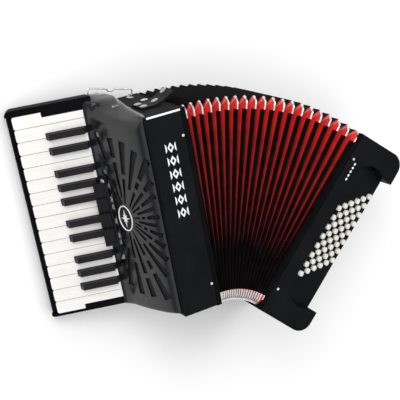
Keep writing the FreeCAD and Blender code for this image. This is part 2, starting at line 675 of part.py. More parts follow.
def make_bass_case():
    """Rounded shell, open to the bellows, with a sloping recess for the button board."""
    outer = bass_outline(0.0).extrude(V(0, 0, DEPTH))
    outer = outer.common(bass_side_form(0.0))
    outer = outer.makeFillet(5.0, [edge for edge in outer.Edges if on_front_rim(edge)])
    inner = bass_outline(WALL).extrude(V(0, 0, DEPTH - 2 * WALL))
    inner.translate(V(-1.0, 0, WALL))
    inner = inner.common(bass_side_form(WALL))
    zone_side = [(-14.0, -BOARD_THICK - WALL), (120.0, -BOARD_THICK - WALL), (120.0, 60.0), (-14.0, 60.0)]
    floor_zone = board_prism(zone_side, BOARD_LOW_Y - WALL, BOARD_HIGH_Y + WALL)
    wall_clear = box((BOARD_INNER_X - WALL, 200.0), (-50.0, 400.0), (0.0, 300.0))
    shell = outer.cut(inner.cut(floor_zone.common(wall_clear)))
    shell = shell.cut(button_recess())
    well_side = [(1.2, -30.0), (71.2, -30.0), (71.2, 0.0), (1.2, 0.0)]
    well = board_prism(well_side, 70.0, 246.0)
    nodes["bass_case"] = shell.cut(well)
    frame = ring((0.0, FRAME_THICK), (0.5, BELLOWS_HEIGHT - 0.5), (0.5, DEPTH - 0.5), 14.0)
    nodes["bass_bellows_frame"] = frame
    nodes["bass_bellows_pins"] = bellows_pins(14.5, 268.5)


def button_place(column, row):
    """Place of one button on the board: distance down the slope and y."""
    return 6.2 + COLUMN_STEP * column, 77.0 + BUTTON_STEP * row + COLUMN_SHIFT * column


def make_buttons():
    """Sloping board drilled for the buttons, and six columns of eight buttons."""
    top_side = [(1.3, -BOARD_THICK), (74.0, -BOARD_THICK), (72.9, 0.0), (0.1, 0.0)]
    board = board_prism(top_side, BOARD_LOW_Y + 0.2, BOARD_HIGH_Y - 0.2).common(button_recess())
    holes = []
    for column in range(BUTTON_COLUMNS):
        buttons = []
        for row in range(BUTTON_ROWS):
            out, y = button_place(column, row)
            foot = on_board(out, -9.0, y)
            length = 9.0 + BUTTON_RISE
            button = Part.makeCylinder(BUTTON_RADIUS, length, foot, BOARD_NORMAL)
            rim = [e for e in button.Edges if abs((e.CenterOfMass - foot).dot(BOARD_NORMAL) - length) < 0.01]
            buttons.append(button.makeFillet(1.2, rim))
            holes.append(Part.makeCylinder(BUTTON_RADIUS + 0.35, 12.0, foot, BOARD_NORMAL))
        nodes["bass_button_column_%d" % (column + 1)] = group(buttons)
    nodes["bass_button_board"] = board.cut(group(holes))


def make_bass_inside():
    """Reed block behind the buttons on its soundboard."""
    inner_y = (BASS_BOTTOM + WALL + 4.0, BELLOWS_HEIGHT - 8.0)
    board = box((FRAME_THICK + 2.0, FRAME_THICK + 7.0), inner_y, (WALL, DEPTH - WALL - 30.0))
    blocks = [board]
    for z in (30.0, 70.0):
        blocks.append(box((FRAME_THICK + 7.0, 45.0), (40.0, 262.0), (z, z + 22.0)))
    nodes["bass_reed_blocks"] = group(blocks)


HAND_STRAP_Z = (30.0, 68.0)
AIR_TRAVEL = 4.0


def make_hand_strap():
    """Leather strap over the back of the hand, its adjusting wheel, the air button and the feet."""
    x = BASS_OUTER
    outer = [V(x, 34.0, 0), V(x + 22.0, 90.0, 0), V(x + 27.0, 156.0, 0), V(x + 22.0, 222.0, 0)]
    outer.append(V(x, 278.0, 0))
    inner = [V(x, 42.0, 0), V(x + 18.6, 92.0, 0), V(x + 23.4, 156.0, 0), V(x + 18.6, 220.0, 0)]
    inner.append(V(x, 270.0, 0))
    outer_curve = Part.BSplineCurve()
    outer_curve.interpolate(outer)
    inner_curve = Part.BSplineCurve()
    inner_curve.interpolate(inner)
    ends = [Part.makeLine(outer[0], inner[0]), Part.makeLine(inner[-1], outer[-1])]
    wire = Part.Wire(Part.sortEdges([outer_curve.toShape(), inner_curve.toShape()] + ends)[0])
    band = Part.Face(wire).extrude(V(0, 0, HAND_STRAP_Z[1] - HAND_STRAP_Z[0]))
    band.translate(V(0, 0, HAND_STRAP_Z[0]))
    nodes["hand_strap"] = band
    wheel_z = (HAND_STRAP_Z[0] + HAND_STRAP_Z[1]) / 2
    wheel_x = BASS_OUTER - 30.0
    wheel_foot = V(wheel_x, BASS_TOP + 1.2, wheel_z)
    nodes["adjuster_wheel"] = Part.makeCylinder(9.0, 6.0, wheel_foot, Y_AXIS)
    air_foot = V(BASS_OUTER + AIR_TRAVEL + 0.6, 292.0, 90.0)
    stem_foot = air_foot - X_AXIS * (AIR_TRAVEL + 5.2)
    air = fuse(rod(air_foot, air_foot + X_AXIS * 6.0, 6.0), rod(stem_foot, air_foot, 3.0))
    nodes["air_button"] = air
    stem_bore = rod(stem_foot - X_AXIS * 6.0, air_foot + X_AXIS * 2.0, 3.06)
    nodes["bass_case"] = nodes["bass_case"].cut(stem_bore)
    feet = []
    for y in (18.0, 294.0):
        for z in (18.0, DEPTH - 50.0):
            feet.append(Part.makeCone(6.0, 4.5, 4.0, V(BASS_OUTER, y, z), X_AXIS))
    nodes["bass_feet"] = group(feet)


# ---------------------------------------------------------------------------------------------
def turn_bass_side():
    """Turn every piece of the bass side about the centre of the fan."""
    for name in list(nodes):
        bass = name.startswith("bass_") or name in ("hand_strap", "adjuster_wheel", "air_button")
        if bass:
            nodes[name].rotate(FAN_CENTRE, Z_AXIS, -FAN_ANGLE)


def turned(point):
    """Where a point of the bass side comes to lie."""
    angle = radians(-FAN_ANGLE)
    arm = point - FAN_CENTRE
    x = arm.x * cos(angle) - arm.y * sin(angle)
    y = arm.x * sin(angle) + arm.y * cos(angle)
    return FAN_CENTRE + V(x, y, arm.z)


def turned_way(way):
    """Which way a direction of the bass side comes to point."""
    return turned(FAN_CENTRE + way) - FAN_CENTRE


def report(label, point):
    print("%s %.5f %.5f %.5f" % (label, point.x, point.y, point.z))


def main():
    make_keys()
    make_keyboard_bed()
    make_treble_case()
    make_treble_reeds()
    make_grille()
    make_registers()
    make_strap_fittings()
    make_top_strap()
    make_bellows()
    make_bass_case()
    make_buttons()
    make_bass_inside()
    make_hand_strap()
    turn_bass_side()
    whole = group(nodes.values()).BoundBox
    centre = V(whole.Center.x, whole.Center.y, whole.ZMin)
    os.makedirs("parts", exist_ok=True)
    for name, shape in nodes.items():
        shape.translate(-centre)
        shape.exportStep("parts/%s.step" % name)
        if not shape.isValid():
            print("invalid", name)
    report("size", V(whole.XLength, whole.YLength, whole.ZLength))
    hinge_rise = CLOSED_WIDTH / (2 * tan(radians(FAN_ANGLE / 2)))
    report("treble_origin", -centre)
    report("fan_hinge", FAN_CENTRE + V(CLOSED_WIDTH / 2, hinge_rise, 0) - centre)
    report("key_axle", on_key(AXLE_ALONG, AXLE_DOWN, KEYS_TOP / 2) - centre)
    report("switch_pivot", on_key(SWITCH_ALONG, REGISTER_UP + 4.4, REGISTER_MIDDLE) - centre)
    report("bail_axis", BAIL_LEFT - centre)
    report("bail_way", (BAIL_RIGHT - BAIL_LEFT).normalize())
    report("wheel_axis", turned(V(BASS_OUTER - 30.0, BASS_TOP, sum(HAND_STRAP_Z) / 2)) - centre)
    report("wheel_way", turned_way(Y_AXIS))
    report("button_way", turned_way(-BOARD_NORMAL))
    report("air_way", turned_way(-X_AXIS))
    report("treble_back", V((CASE_LEFT - FRAME_THICK) / 2, (CASE_BOTTOM + CASE_TOP) / 2, 0) - centre)


main()
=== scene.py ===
"""Visual model of a piano accordion that lies on its back with the bellows fanned open.

Lengths are in millimetres in the treble frame: X = 0 is the bellows plane of the treble case, Y = 0
is the foot of the bellows and Z = 0 is the back. The bass side uses the same frame, turned about
the centre of the fan.
"""
from math import cos, hypot, pi, radians, sin, tan

import bmesh
import bpy
from mathutils import Matrix, Vector
from mathutils.geometry import delaunay_2d_cdt


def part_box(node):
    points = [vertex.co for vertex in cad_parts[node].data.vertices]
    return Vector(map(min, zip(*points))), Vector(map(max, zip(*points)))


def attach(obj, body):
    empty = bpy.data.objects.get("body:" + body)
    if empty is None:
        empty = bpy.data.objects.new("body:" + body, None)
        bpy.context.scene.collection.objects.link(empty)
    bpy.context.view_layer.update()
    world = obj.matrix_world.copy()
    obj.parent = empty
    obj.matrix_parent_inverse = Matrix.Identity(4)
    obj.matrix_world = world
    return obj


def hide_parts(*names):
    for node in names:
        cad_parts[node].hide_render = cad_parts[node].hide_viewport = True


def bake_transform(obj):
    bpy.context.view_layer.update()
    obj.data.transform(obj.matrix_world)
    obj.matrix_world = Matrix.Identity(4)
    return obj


MM = 0.001

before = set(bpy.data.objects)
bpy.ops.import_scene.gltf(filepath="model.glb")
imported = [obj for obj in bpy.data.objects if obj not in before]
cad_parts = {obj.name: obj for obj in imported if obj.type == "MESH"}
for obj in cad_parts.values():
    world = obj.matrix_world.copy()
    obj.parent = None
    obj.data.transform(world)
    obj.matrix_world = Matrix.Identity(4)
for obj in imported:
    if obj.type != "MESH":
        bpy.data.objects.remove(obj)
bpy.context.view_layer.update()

# Sizes that part.py uses too.
FAN_ANGLE = 46.0
FAN_CENTRE_DROP = 79.2
FAN_UNEVENNESS = -0.19
GAPS = 19
FOLD_TOP = 306.5
FOLD_TOP_GAIN = 3.5
DEPTH = 175.0
FOLD_WIDTH = 25.0
WHITE_KEYS = 16
CASE_LEFT = -61.0
CASE_TOP = 304.8
CAP_HIGH = 321.3
BASS_OUTER = 103.0
BASS_TOP = 314.0

frame_low, frame_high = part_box("treble_bellows_frame")
ORIGIN = Vector((frame_high.x, frame_low.y - 0.5 * MM, 0.0))


def treble(x, y, z):
    """Row-frame point of a place on the treble side."""
    return ORIGIN + Vector((x, y, z)) * MM


def fanned(turn, x, y, z):
    """Row-frame point of (x, y, z) in a plane turned by some degrees about the centre of the fan."""
    angle = radians(turn)
    arm = y + FAN_CENTRE_DROP
    across = x * cos(angle) + arm * sin(angle)
    up = arm * cos(angle) - x * sin(angle) - FAN_CENTRE_DROP
    return treble(across, up, z)


def bass(u, v, z):
    """Row-frame point of a place on the bass side."""
    return fanned(FAN_ANGLE, u, v, z)


# ---------------------------------------------------------------------------------------------
# Materials.
class Finish:
    """A node material whose colour, roughness and bump come from textures in object space."""

    def __init__(self, name, roughness=0.4, **sockets):
        self.material = bpy.data.materials.new(name)
        self.material.use_nodes = True
        self.nodes = self.material.node_tree.nodes
        self.links = self.material.node_tree.links
        self.shader = self.nodes["Principled BSDF"]
        self.shader.inputs["Roughness"].default_value = roughness
        for socket, value in sockets.items():
            self.shader.inputs[socket.replace("_", " ")].default_value = value
        self.place = self.nodes.new("ShaderNodeTexCoord").outputs["Object"]
        self.height = None

    def link(self, source, target):
        self.links.new(source, target)
        return target

    def stretched(self, scale):
        """Object coordinates stretched by a factor on each axis."""
        mapping = self.nodes.new("ShaderNodeMapping")
        mapping.inputs["Scale"].default_value = scale
        self.link(self.place, mapping.inputs["Vector"])
        return mapping.outputs["Vector"]

    def noise(self, size, detail=3.0, roughness=0.5, place=None):
        """Cloudy noise whose blobs are about size millimetres across."""
        node = self.nodes.new("ShaderNodeTexNoise")
        node.inputs["Scale"].default_value = 1000.0 / size
        node.inputs["Detail"].default_value = detail
        node.inputs["Roughness"].default_value = roughness
        self.link(place or self.place, node.inputs["Vector"])
        return node.outputs["Fac"]

    def cells(self, size, place=None):
        """Cell pattern for leather grain, with cells about size millimetres across."""
        node = self.nodes.new("ShaderNodeTexVoronoi")
        node.inputs["Scale"].default_value = 1000.0 / size
        self.link(place or self.place, node.inputs["Vector"])
        return node.outputs["Distance"]

    def bands(self, size, axis, place=None, distortion=0.0):
        """Sine bands whose period is about size millimetres along one axis."""
        node = self.nodes.new("ShaderNodeTexWave")
        node.bands_direction = axis
        node.inputs["Scale"].default_value = 1000.0 / size / (2 * pi) * 2
        node.inputs["Distortion"].default_value = distortion
        self.link(place or self.place, node.inputs["Vector"])
        return node.outputs["Fac"]

    def math(self, operation, first, second):
        node = self.nodes.new("ShaderNodeMath")
        node.operation = operation
        for socket, value in zip(node.inputs, (first, second)):
            if isinstance(value, (int, float)):
                socket.default_value = value
            else:
                self.link(value, socket)
        return node.outputs[0]

    def ramp(self, factor, *stops):
        """Colours at places along a factor."""
        node = self.nodes.new("ShaderNodeValToRGB")
        elements = node.color_ramp.elements
        while len(elements) < len(stops):
            elements.new(0.5)
        for element, (position, colour) in zip(elements, stops):
            element.position = position
            element.color = (*colour, 1.0)
        self.link(factor, node.inputs["Fac"])
        return node.outputs["Color"]

    def colour(self, output):
        self.link(output, self.shader.inputs["Base Color"])
        return self

    def rough(self, factor, low, high):
        """Roughness between two values by a factor."""
        node = self.nodes.new("ShaderNodeMapRange")
        node.inputs["To Min"].default_value = low
        node.inputs["To Max"].default_value = high
        self.link(factor, node.inputs["Value"])
        self.link(node.outputs["Result"], self.shader.inputs["Roughness"])
        return self

    def bump(self, factor, height):
        """Relief of a height in millimetres, added to what is there already."""
        node = self.nodes.new("ShaderNodeBump")
        node.inputs["Distance"].default_value = height * MM
        self.link(factor, node.inputs["Height"])
        if self.height is not None:
            self.link(self.height, node.inputs["Normal"])
        self.height = node.outputs["Normal"]
        self.link(self.height, self.shader.inputs["Normal"])
        return self


def make_lacquer(name, dark, light, roughness, specular):
    finish = Finish(name, Specular_IOR_Level=specular)
    cloud = finish.noise(38.0, 4.0)
    finish.colour(finish.ramp(cloud, (0.3, dark), (0.75, light)))
    finish.rough(finish.noise(9.0, 5.0), roughness - 0.05, roughness + 0.07)
    finish.bump(finish.noise(1.1, 2.0), 0.012)
    return finish.material


def make_plastic(name, dark, light, roughness, specular, grain=0.6, relief=0.02):
    finish = Finish(name, Specular_IOR_Level=specular)
    finish.colour(finish.ramp(finish.noise(25.0, 3.0), (0.3, dark), (0.7, light)))
    finish.rough(finish.noise(6.0, 4.0), roughness - 0.04, roughness + 0.05)
    finish.bump(finish.noise(grain, 2.0), relief)
    return finish.material


def make_ivory(name, light, dark, roughness):
    finish = Finish(name, Specular_IOR_Level=0.5)
    streak = finish.noise(14.0, 4.0, 0.6, finish.stretched((0.25, 1.6, 1.0)))
    finish.colour(finish.ramp(streak, (0.25, dark), (0.7, light)))
    finish.rough(finish.noise(7.0, 4.0), roughness - 0.05, roughness + 0.08)
    finish.bump(finish.noise(3.0, 2.0), 0.01)
    return finish.material


def make_cloth(name, light, dark, thread, roughness, height, specular=0.3, sheen=0.1):
    """Woven cloth with threads in two directions."""
    finish = Finish(name, Specular_IOR_Level=specular)
    finish.shader.inputs["Sheen Weight"].default_value = sheen
    warp = finish.bands(thread, "X")
    weft = finish.bands(thread, "Y")
    depth = finish.bands(thread, "Z")
    weave = finish.math("MULTIPLY", finish.math("MAXIMUM", warp, weft), depth)
    cloud = finish.noise(17.0, 5.0)
    finish.colour(finish.ramp(cloud, (0.3, dark), (0.7, light)))
    finish.rough(cloud, roughness - 0.05, roughness + 0.08)
    finish.bump(weave, height)
    finish.bump(finish.noise(4.0, 3.0), height)
    return finish.material


def make_leather(name, light, dark, roughness, grain):
    finish = Finish(name, Specular_IOR_Level=0.04)
    cells = finish.cells(grain)
    cloud = finish.noise(12.0, 5.0, 0.6)
    finish.colour(finish.ramp(cloud, (0.3, dark), (0.75, light)))
    finish.rough(cells, roughness - 0.08, roughness + 0.12)
    finish.bump(cells, 0.18)
    finish.bump(finish.noise(0.7, 3.0), 0.04)
    return finish.material


def make_metal(name, colour, dull, roughness):
    finish = Finish(name, Metallic=1.0)
    finish.colour(finish.ramp(finish.noise(5.0, 4.0), (0.35, dull), (0.65, colour)))
    finish.rough(finish.noise(3.0, 4.0), roughness - 0.05, roughness + 0.08)
    finish.bump(finish.noise(1.2, 2.0), 0.01)
    return finish.material


def make_wood(name, light, dark, roughness):
    finish = Finish(name, Specular_IOR_Level=0.35)
    grain = finish.noise(7.0, 6.0, 0.6, finish.stretched((1.0, 0.08, 1.0)))
    finish.colour(finish.ramp(grain, (0.35, dark), (0.65, light)))
    finish.rough(grain, roughness - 0.05, roughness + 0.1)
    finish.bump(grain, 0.06)
    return finish.material


LOOK = {
    "panel": make_lacquer("black_panel", (0.007, 0.0073, 0.0085), (0.01, 0.0105, 0.012), 0.36, 0.005),
    "case": make_lacquer("black_case", (0.004, 0.004, 0.0045), (0.006, 0.006, 0.007), 0.32, 0.005),
    "grille": make_plastic("grille_plastic", (0.0065, 0.007, 0.0085), (0.0095, 0.01, 0.012), 0.17,
                           0.44, grain=2.5, relief=0.004),
    "dark": make_plastic("dark_plastic", (0.006, 0.006, 0.007), (0.011, 0.011, 0.013), 0.42, 0.12),
    "mesh": make_cloth("grille_mesh", (0.01, 0.01, 0.011), (0.005, 0.005, 0.006), 1.1, 0.7, 0.25, 0.2),
    "ivory": make_ivory("ivory_plastic_fine", (0.86, 0.85, 0.82), (0.78, 0.77, 0.73), 0.28),
    "ebony": make_plastic("ebony_plastic_fine", (0.01, 0.01, 0.012), (0.015, 0.015, 0.017), 0.36, 0.12),
    "button": make_ivory("button_ivory_fine", (0.80, 0.78, 0.73), (0.70, 0.68, 0.62), 0.3),
    "red": make_cloth("red_cloth", (0.82, 0.022, 0.020), (0.62, 0.010, 0.012), 0.5, 0.5, 0.03, 0.3),
    "tape": make_cloth("black_tape", (0.007, 0.006, 0.006), (0.003, 0.002, 0.002), 0.7, 0.5, 0.05,
                       specular=0.02, sheen=0.0),
    "gusset": make_leather("gusset_leather", (0.62, 0.36, 0.24), (0.48, 0.22, 0.15), 0.5, 1.1),
    "leather": make_leather("black_leather_fine", (0.014, 0.013, 0.012), (0.006, 0.006, 0.006), 0.42,
                            1.3),
    "thread": make_cloth("thread", (0.05, 0.05, 0.05), (0.02, 0.02, 0.02), 0.4, 0.6, 0.03),
    "chrome": make_metal("chrome_fine", (0.82, 0.81, 0.80), (0.62, 0.61, 0.60), 0.16),
    "steel": make_metal("steel_fine", (0.55, 0.55, 0.56), (0.42, 0.42, 0.43), 0.32),
    "white": make_plastic("white_enamel", (0.78, 0.78, 0.79), (0.86, 0.86, 0.87), 0.35, 0.5),
    "wood": make_wood("black_wood_fine", (0.02, 0.018, 0.016), (0.010, 0.009, 0.008), 0.5),
    "rubber": make_plastic("rubber_fine", (0.012, 0.012, 0.012), (0.02, 0.02, 0.02), 0.7, 0.3, 1.4),
}


# ---------------------------------------------------------------------------------------------
# Mesh helpers.
def new_piece(name, points, faces, looks, body=None, marks=None, smooth=40.0):
    """A mesh object from row-frame points and faces; marks gives the index of the look of each face."""
    mesh = bpy.data.meshes.new(name)
    mesh.from_pydata([tuple(point) for point in points], [], faces)
    for look in looks:
        mesh.materials.append(LOOK[look])
    if marks:
        mesh.polygons.foreach_set("material_index", marks)
    fix_normals(mesh)
    obj = bpy.data.objects.new(name, mesh)
    bpy.context.scene.collection.objects.link(obj)
    shade(obj, smooth)
    if body:
        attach(obj, body)
    return obj


def fix_normals(mesh):
    """Merge doubled points and turn all normals outward."""
    work = bmesh.new()
    work.from_mesh(mesh)
    bmesh.ops.remove_doubles(work, verts=work.verts, dist=1e-6)
    bmesh.ops.recalc_face_normals(work, faces=work.faces)
    work.to_mesh(mesh)
    work.free()


def shade(obj, angle):
    """Smooth shading with sharp edges above an angle in degrees."""
    for face in obj.data.polygons:
        face.use_smooth = True
    obj.data.set_sharp_from_angle(angle=radians(angle))


def grid_faces(rows, columns, close_rows=False, close_columns=False):
    """Quads of a grid whose points are listed row by row."""
    faces = []
    for row in range(rows if close_rows else rows - 1):
        next_row = (row + 1) % rows
        for column in range(columns if close_columns else columns - 1):
            next_column = (column + 1) % columns
            corners = [(row, column), (row, next_column), (next_row, next_column), (next_row, column)]
            faces.append([r * columns + c for r, c in corners])
    return faces


class Build:
    """Collects several closed solids into one mesh."""

    def __init__(self):
        self.points = []
        self.faces = []
        self.marks = []

    def add(self, points, faces, mark=0):
        start = len(self.points)
        self.points += points
        self.faces += [[start + index for index in face] for face in faces]
        self.marks += [mark] * len(faces)

    def loft(self, loops, mark=0, capped=True, closed=False):
        """A tube through loops of equal length."""
        rows, columns = len(loops), len(loops[0])
        faces = grid_faces(rows, columns, close_rows=closed, close_columns=True)
        if capped and not closed:
            faces.append(list(range(columns)))
            faces.append([(rows - 1) * columns + index for index in range(columns)])
        self.add([point for loop in loops for point in loop], faces, mark)

    def tube(self, path, radius, sides=10, mark=0, closed=False):
        """A round tube along a path of row-frame points; the radius is in millimetres."""
        loops = []
        count = len(path)
        side = None
        for index, point in enumerate(path):
            before = path[index - 1] if index or closed else point
            after = path[(index + 1) % count] if index < count - 1 or closed else point
            way = (after - before).normalized()
            if side is None:
                side = way.orthogonal().normalized()
            side = (side - way * side.dot(way)).normalized()
            other = way.cross(side)
            ring = []
            for step in range(sides):
                angle = 2 * pi * step / sides
                ring.append(point + (side * cos(angle) + other * sin(angle)) * radius * MM)
            loops.append(ring)
        self.loft(loops, mark, closed=closed)

    def turned(self, centre, way, profile, sides=24, mark=0):
        """A turned solid: profile lists (distance along the way, radius) in millimetres."""
        way = way.normalized()
        side = way.orthogonal().normalized()
        other = way.cross(side)
        loops = []
        for along, radius in profile:
            ring = []
            for step in range(sides):
                angle = 2 * pi * step / sides
                arm = (side * cos(angle) + other * sin(angle)) * radius * MM
                ring.append(centre + way * along * MM + arm)
            loops.append(ring)
        self.loft(loops, mark)

    def piece(self, name, looks, body=None, smooth=40.0):
        return new_piece(name, self.points, self.faces, looks, body, self.marks, smooth)


def bevel(obj, width, segments=2, angle=35.0):
    """Rounded edges on a piece; the mesh itself isn't changed."""
    weld = obj.modifiers.new("weld", "WELD")
    weld.merge_threshold = 1e-6
    edge = obj.modifiers.new("bevel", "BEVEL")
    edge.width = width * MM
    edge.segments = segments
    edge.limit_method = "ANGLE"
    edge.angle_limit = radians(angle)
    edge.harden_normals = False
    smooth = obj.modifiers.new("normals", "WEIGHTED_NORMAL")
    smooth.keep_sharp = True
    return obj


def refinish(node, look, width=0.0):
    """A carried-over CAD node with its own look and, if wanted, rounded edges."""
    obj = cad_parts[node]
    obj.data.materials.clear()
    obj.data.materials.append(LOOK[look])
    if width:
        bevel(obj, width)
    return obj


# ---------------------------------------------------------------------------------------------
# Bellows.
CREST = 0.9
TAPE_DEEP = 8.0
FOLD_ROUND = 13.0
VALLEY_ROUND = 4.0
SKIN = 1.5
FOLD_CLEAR = 0.8
LONG_REACH = 19.0
SHORT_REACH = 16.0
ARC_STEPS = 9
BACK_CORNERS = (2, 3)


def fold_turn(share):
    """Angle of a fold plane; share runs from 0 at the treble side to 1 at the bass side."""
    return FAN_ANGLE * (share + FAN_UNEVENNESS * share * (1 - share))


def fold_outline(inset, turn=0.0):
    """Points (y, z) round a fold, drawn in by an inset, with the kind of each stretch after it.

    The kinds are "side" for the taped part, "red" for bare cloth in the front corners, "mitre" for the
    gusset on the diagonal of a front corner and "black" for the rest of the corners. The black steps
    that open each front corner are painted shade: they stand for the shadow on the gusset beside the
    guard.
    """
    share = max(inset, 0.0) / FOLD_WIDTH
    radius = FOLD_ROUND + (VALLEY_ROUND - FOLD_ROUND) * share
    low_y, high_y = inset, FOLD_TOP + FOLD_TOP_GAIN * turn / FAN_ANGLE - inset
    low_z, high_z = FOLD_CLEAR + inset, DEPTH - FOLD_CLEAR - inset
    corners = [(high_y, high_z, 1, 1), (low_y, high_z, -1, 1), (low_y, low_z, -1, -1)]
    corners.append((high_y, low_z, 1, -1))
    points = []
    kinds = []
    for number, (corner_y, corner_z, side_y, side_z) in enumerate(corners):
        centre_y = corner_y - side_y * radius
        centre_z = corner_z - side_z * radius
        from_long = number in (1, 3)
        arc = []
        for step in range(ARC_STEPS + 1):
            angle = pi / 2 * step / ARC_STEPS
            y = centre_y + side_y * radius * cos(angle)
            arc.append((y, centre_z + side_z * radius * sin(angle)))
        near = inset + radius + 1.0
        long_y = corner_y - side_y * (max(LONG_REACH, near) - inset)
        short_z = corner_z - side_z * (max(SHORT_REACH, near) - inset)
        start = (corner_y, short_z)
        end = (long_y, corner_z)
        run = [start] + arc + [end]
        if from_long:
            run.reverse()
        points += run
        # The two black steps that open each front corner are painted shade, the dark strip on the gusset
        # beside the guard.
        stretch = ["black"] * 2 + ["red"] * 2 + ["mitre"] + ["red"] * 6
        if from_long:
            stretch.reverse()
        if number in BACK_CORNERS:
            stretch = ["black"] * len(stretch)
        kinds += stretch + ["side"]
    return points, kinds


def fold_layers():
    """Loops across the whole bellows as (turn in degrees, x offset, inset, look of the next strip)."""
    layers = []
    for ridge in range(GAPS + 1):
        turn = fold_turn(ridge / GAPS)
        shift = CREST if ridge == 0 else -CREST if ridge == GAPS else 0.0
        if ridge:
            valley_turn = fold_turn((ridge - 0.5) / GAPS)
            share = TAPE_DEEP / FOLD_WIDTH
            tape_turn = turn + (valley_turn - turn) * share
            layers.append((tape_turn, shift - CREST * (1 - share), TAPE_DEEP, "tape"))
        layers.append((turn, shift - CREST, CREST, "tape"))
        layers.append((turn, shift, 0.0, "tape"))
        layers.append((turn, shift + CREST, CREST, "tape"))
        if ridge < GAPS:
            valley_turn = fold_turn((ridge + 0.5) / GAPS)
            share = TAPE_DEEP / FOLD_WIDTH
            tape_turn = turn + (valley_turn - turn) * share
            layers.append((tape_turn, shift + CREST * (1 - share), TAPE_DEEP, "deep"))
            layers.append((valley_turn, 0.0, FOLD_WIDTH, "deep"))
    return layers


def set_weights(obj):
    """Bakes the piece's placement into its mesh."""
    bass(0, 0, 0)
    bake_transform(obj)


def make_bellows():
    """One folded skin with red faces, black tape on the ridges and leather gussets in the corners."""
    layers = fold_layers()
    outer = []
    inner = []
    for turn, shift, inset, _ in layers:
        for y, z in fold_outline(inset, turn)[0]:
            outer.append(fanned(turn, shift, y, z))
    for turn, shift, inset, _ in layers:
        for y, z in fold_outline(inset + SKIN, turn)[0]:
            inner.append(fanned(turn, shift, y, z))
    columns = len(fold_outline(0.0)[0])
    kinds = fold_outline(0.0)[1]
    rows = len(layers)
    faces = grid_faces(rows, columns, close_columns=True)
    marks = []
    for row in range(rows - 1):
        strip = layers[row][3]
        for column in range(columns):
            kind = kinds[column]
            top_side = kind == "side" and column > columns - 2
            if kind == "mitre":
                marks.append(2)
            elif kind == "black" or top_side or strip == "tape" and kind == "side":
                marks.append(1)
            else:
                marks.append(0)
    count = len(outer)
    skin_faces = list(faces)
    faces += [[count + index for index in reversed(face)] for face in skin_faces]
    marks += [1] * len(skin_faces)
    for row in (0, rows - 1):
        for column in range(columns):
            after = (column + 1) % columns
            first, second = row * columns + column, row * columns + after
            faces.append([first, second, count + second, count + first])
            marks.append(1)
    looks = ["red", "tape", "gusset"]
    obj = new_piece("bellows_skin", outer + inner, faces, looks, marks=marks, smooth=50)
    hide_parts("bellows_folds")
    set_weights(obj)


GUARD_START = 3
LAST_GUARD_SHIFT = 1.2


def make_guards():
    """A bright metal strip round each corner of each ridge."""
    build = Build()
    section = [(1, 1.5, 0.4), (1, 0.3, 0.4), (1, -0.3, -0.1), (-1, -0.3, -0.1), (-1, 0.3, 0.4)]
    section += [(-1, 1.5, 0.4), (-1, 1.5, -0.3), (0, 0.9, 0.0), (1, 1.5, -0.3)]
    columns = len(fold_outline(0.0)[0])
    per_corner = columns // 4
    for ridge in range(GAPS + 1):
        turn = fold_turn(ridge / GAPS)
        shift = CREST if ridge == 0 else LAST_GUARD_SHIFT if ridge == GAPS else 0.0
        for corner in range(4):
            loops = []
            first = corner * per_corner
            span = range(first + GUARD_START, first + per_corner)
            if corner in (1, 3):
                span = range(first, first + per_corner - GUARD_START)
            for index in span:
                loop = []
                for side, inset, lift in section:
                    share = max(inset, 0.0) / FOLD_WIDTH
                    valley = (ridge + side * 0.5) / GAPS
                    near = turn if not 0 <= valley <= 1 else fold_turn(valley)
                    face_turn = turn + (near - turn) * share
                    y, z = fold_outline(inset, face_turn)[0][index]
                    offset = shift + side * (CREST * (1 - share) + lift)
                    loop.append(fanned(face_turn, offset, y, z))
                loops.append(loop)
            build.loft(loops)
    obj = build.piece("bellows_corner_guards", ["chrome"], smooth=50)
    set_weights(obj)


make_bellows()
make_guards()


# ---------------------------------------------------------------------------------------------
# Grille with its cap.
GRILLE_PROFILE = [(-111.0, 62.4), (-106.8, 68.0), (-102.5, 77.5), (-98.8, 91.0), (-91.5, 115.0)]
GRILLE_PROFILE += [(-81.5, 141.0)]
GRILLE_PROFILE += [(-74.0, 156.0), (-67.5, 165.0), (-63.5, 167.0), (-61.9, 165.5), (-61.6, 161.0)]
GRILLE_LOW = 5.5
CREASE = [(-111.5, 61.0, 319.0), (-107.0, 67.0, 317.0), (-102.5, 77.0, 311.5), (-98.0, 95.0, 305.5)]
CREASE += [(-90.0, 118.5, 300.0), (-80.0, 141.0, 295.6), (-74.5, 152.5, 293.5), (-70.0, 161.0, 292.5)]
CREASE += [(-63.0, 167.0, 292.0)]
BADGE_Y = 151.5


def smooth_through(points, steps):
    """Points on a Catmull-Rom curve through tuples, with some steps between each two."""
    result = []
    last = len(points) - 1
    for index in range(last):
        a, b = points[max(index - 1, 0)], points[index]
        c, d = points[index + 1], points[min(index + 2, last)]
        for step in range(steps):
            t = step / steps
            value = []
            for p, q, r, s in zip(a, b, c, d):
                cubic = 2 * q + (r - p) * t + (2 * p - 5 * q + 4 * r - s) * t * t
                cubic += (3 * q - p - 3 * r + s) * t ** 3
                value.append(cubic / 2)
            result.append(tuple(value))
    result.append(tuple(points[-1]))
    return result


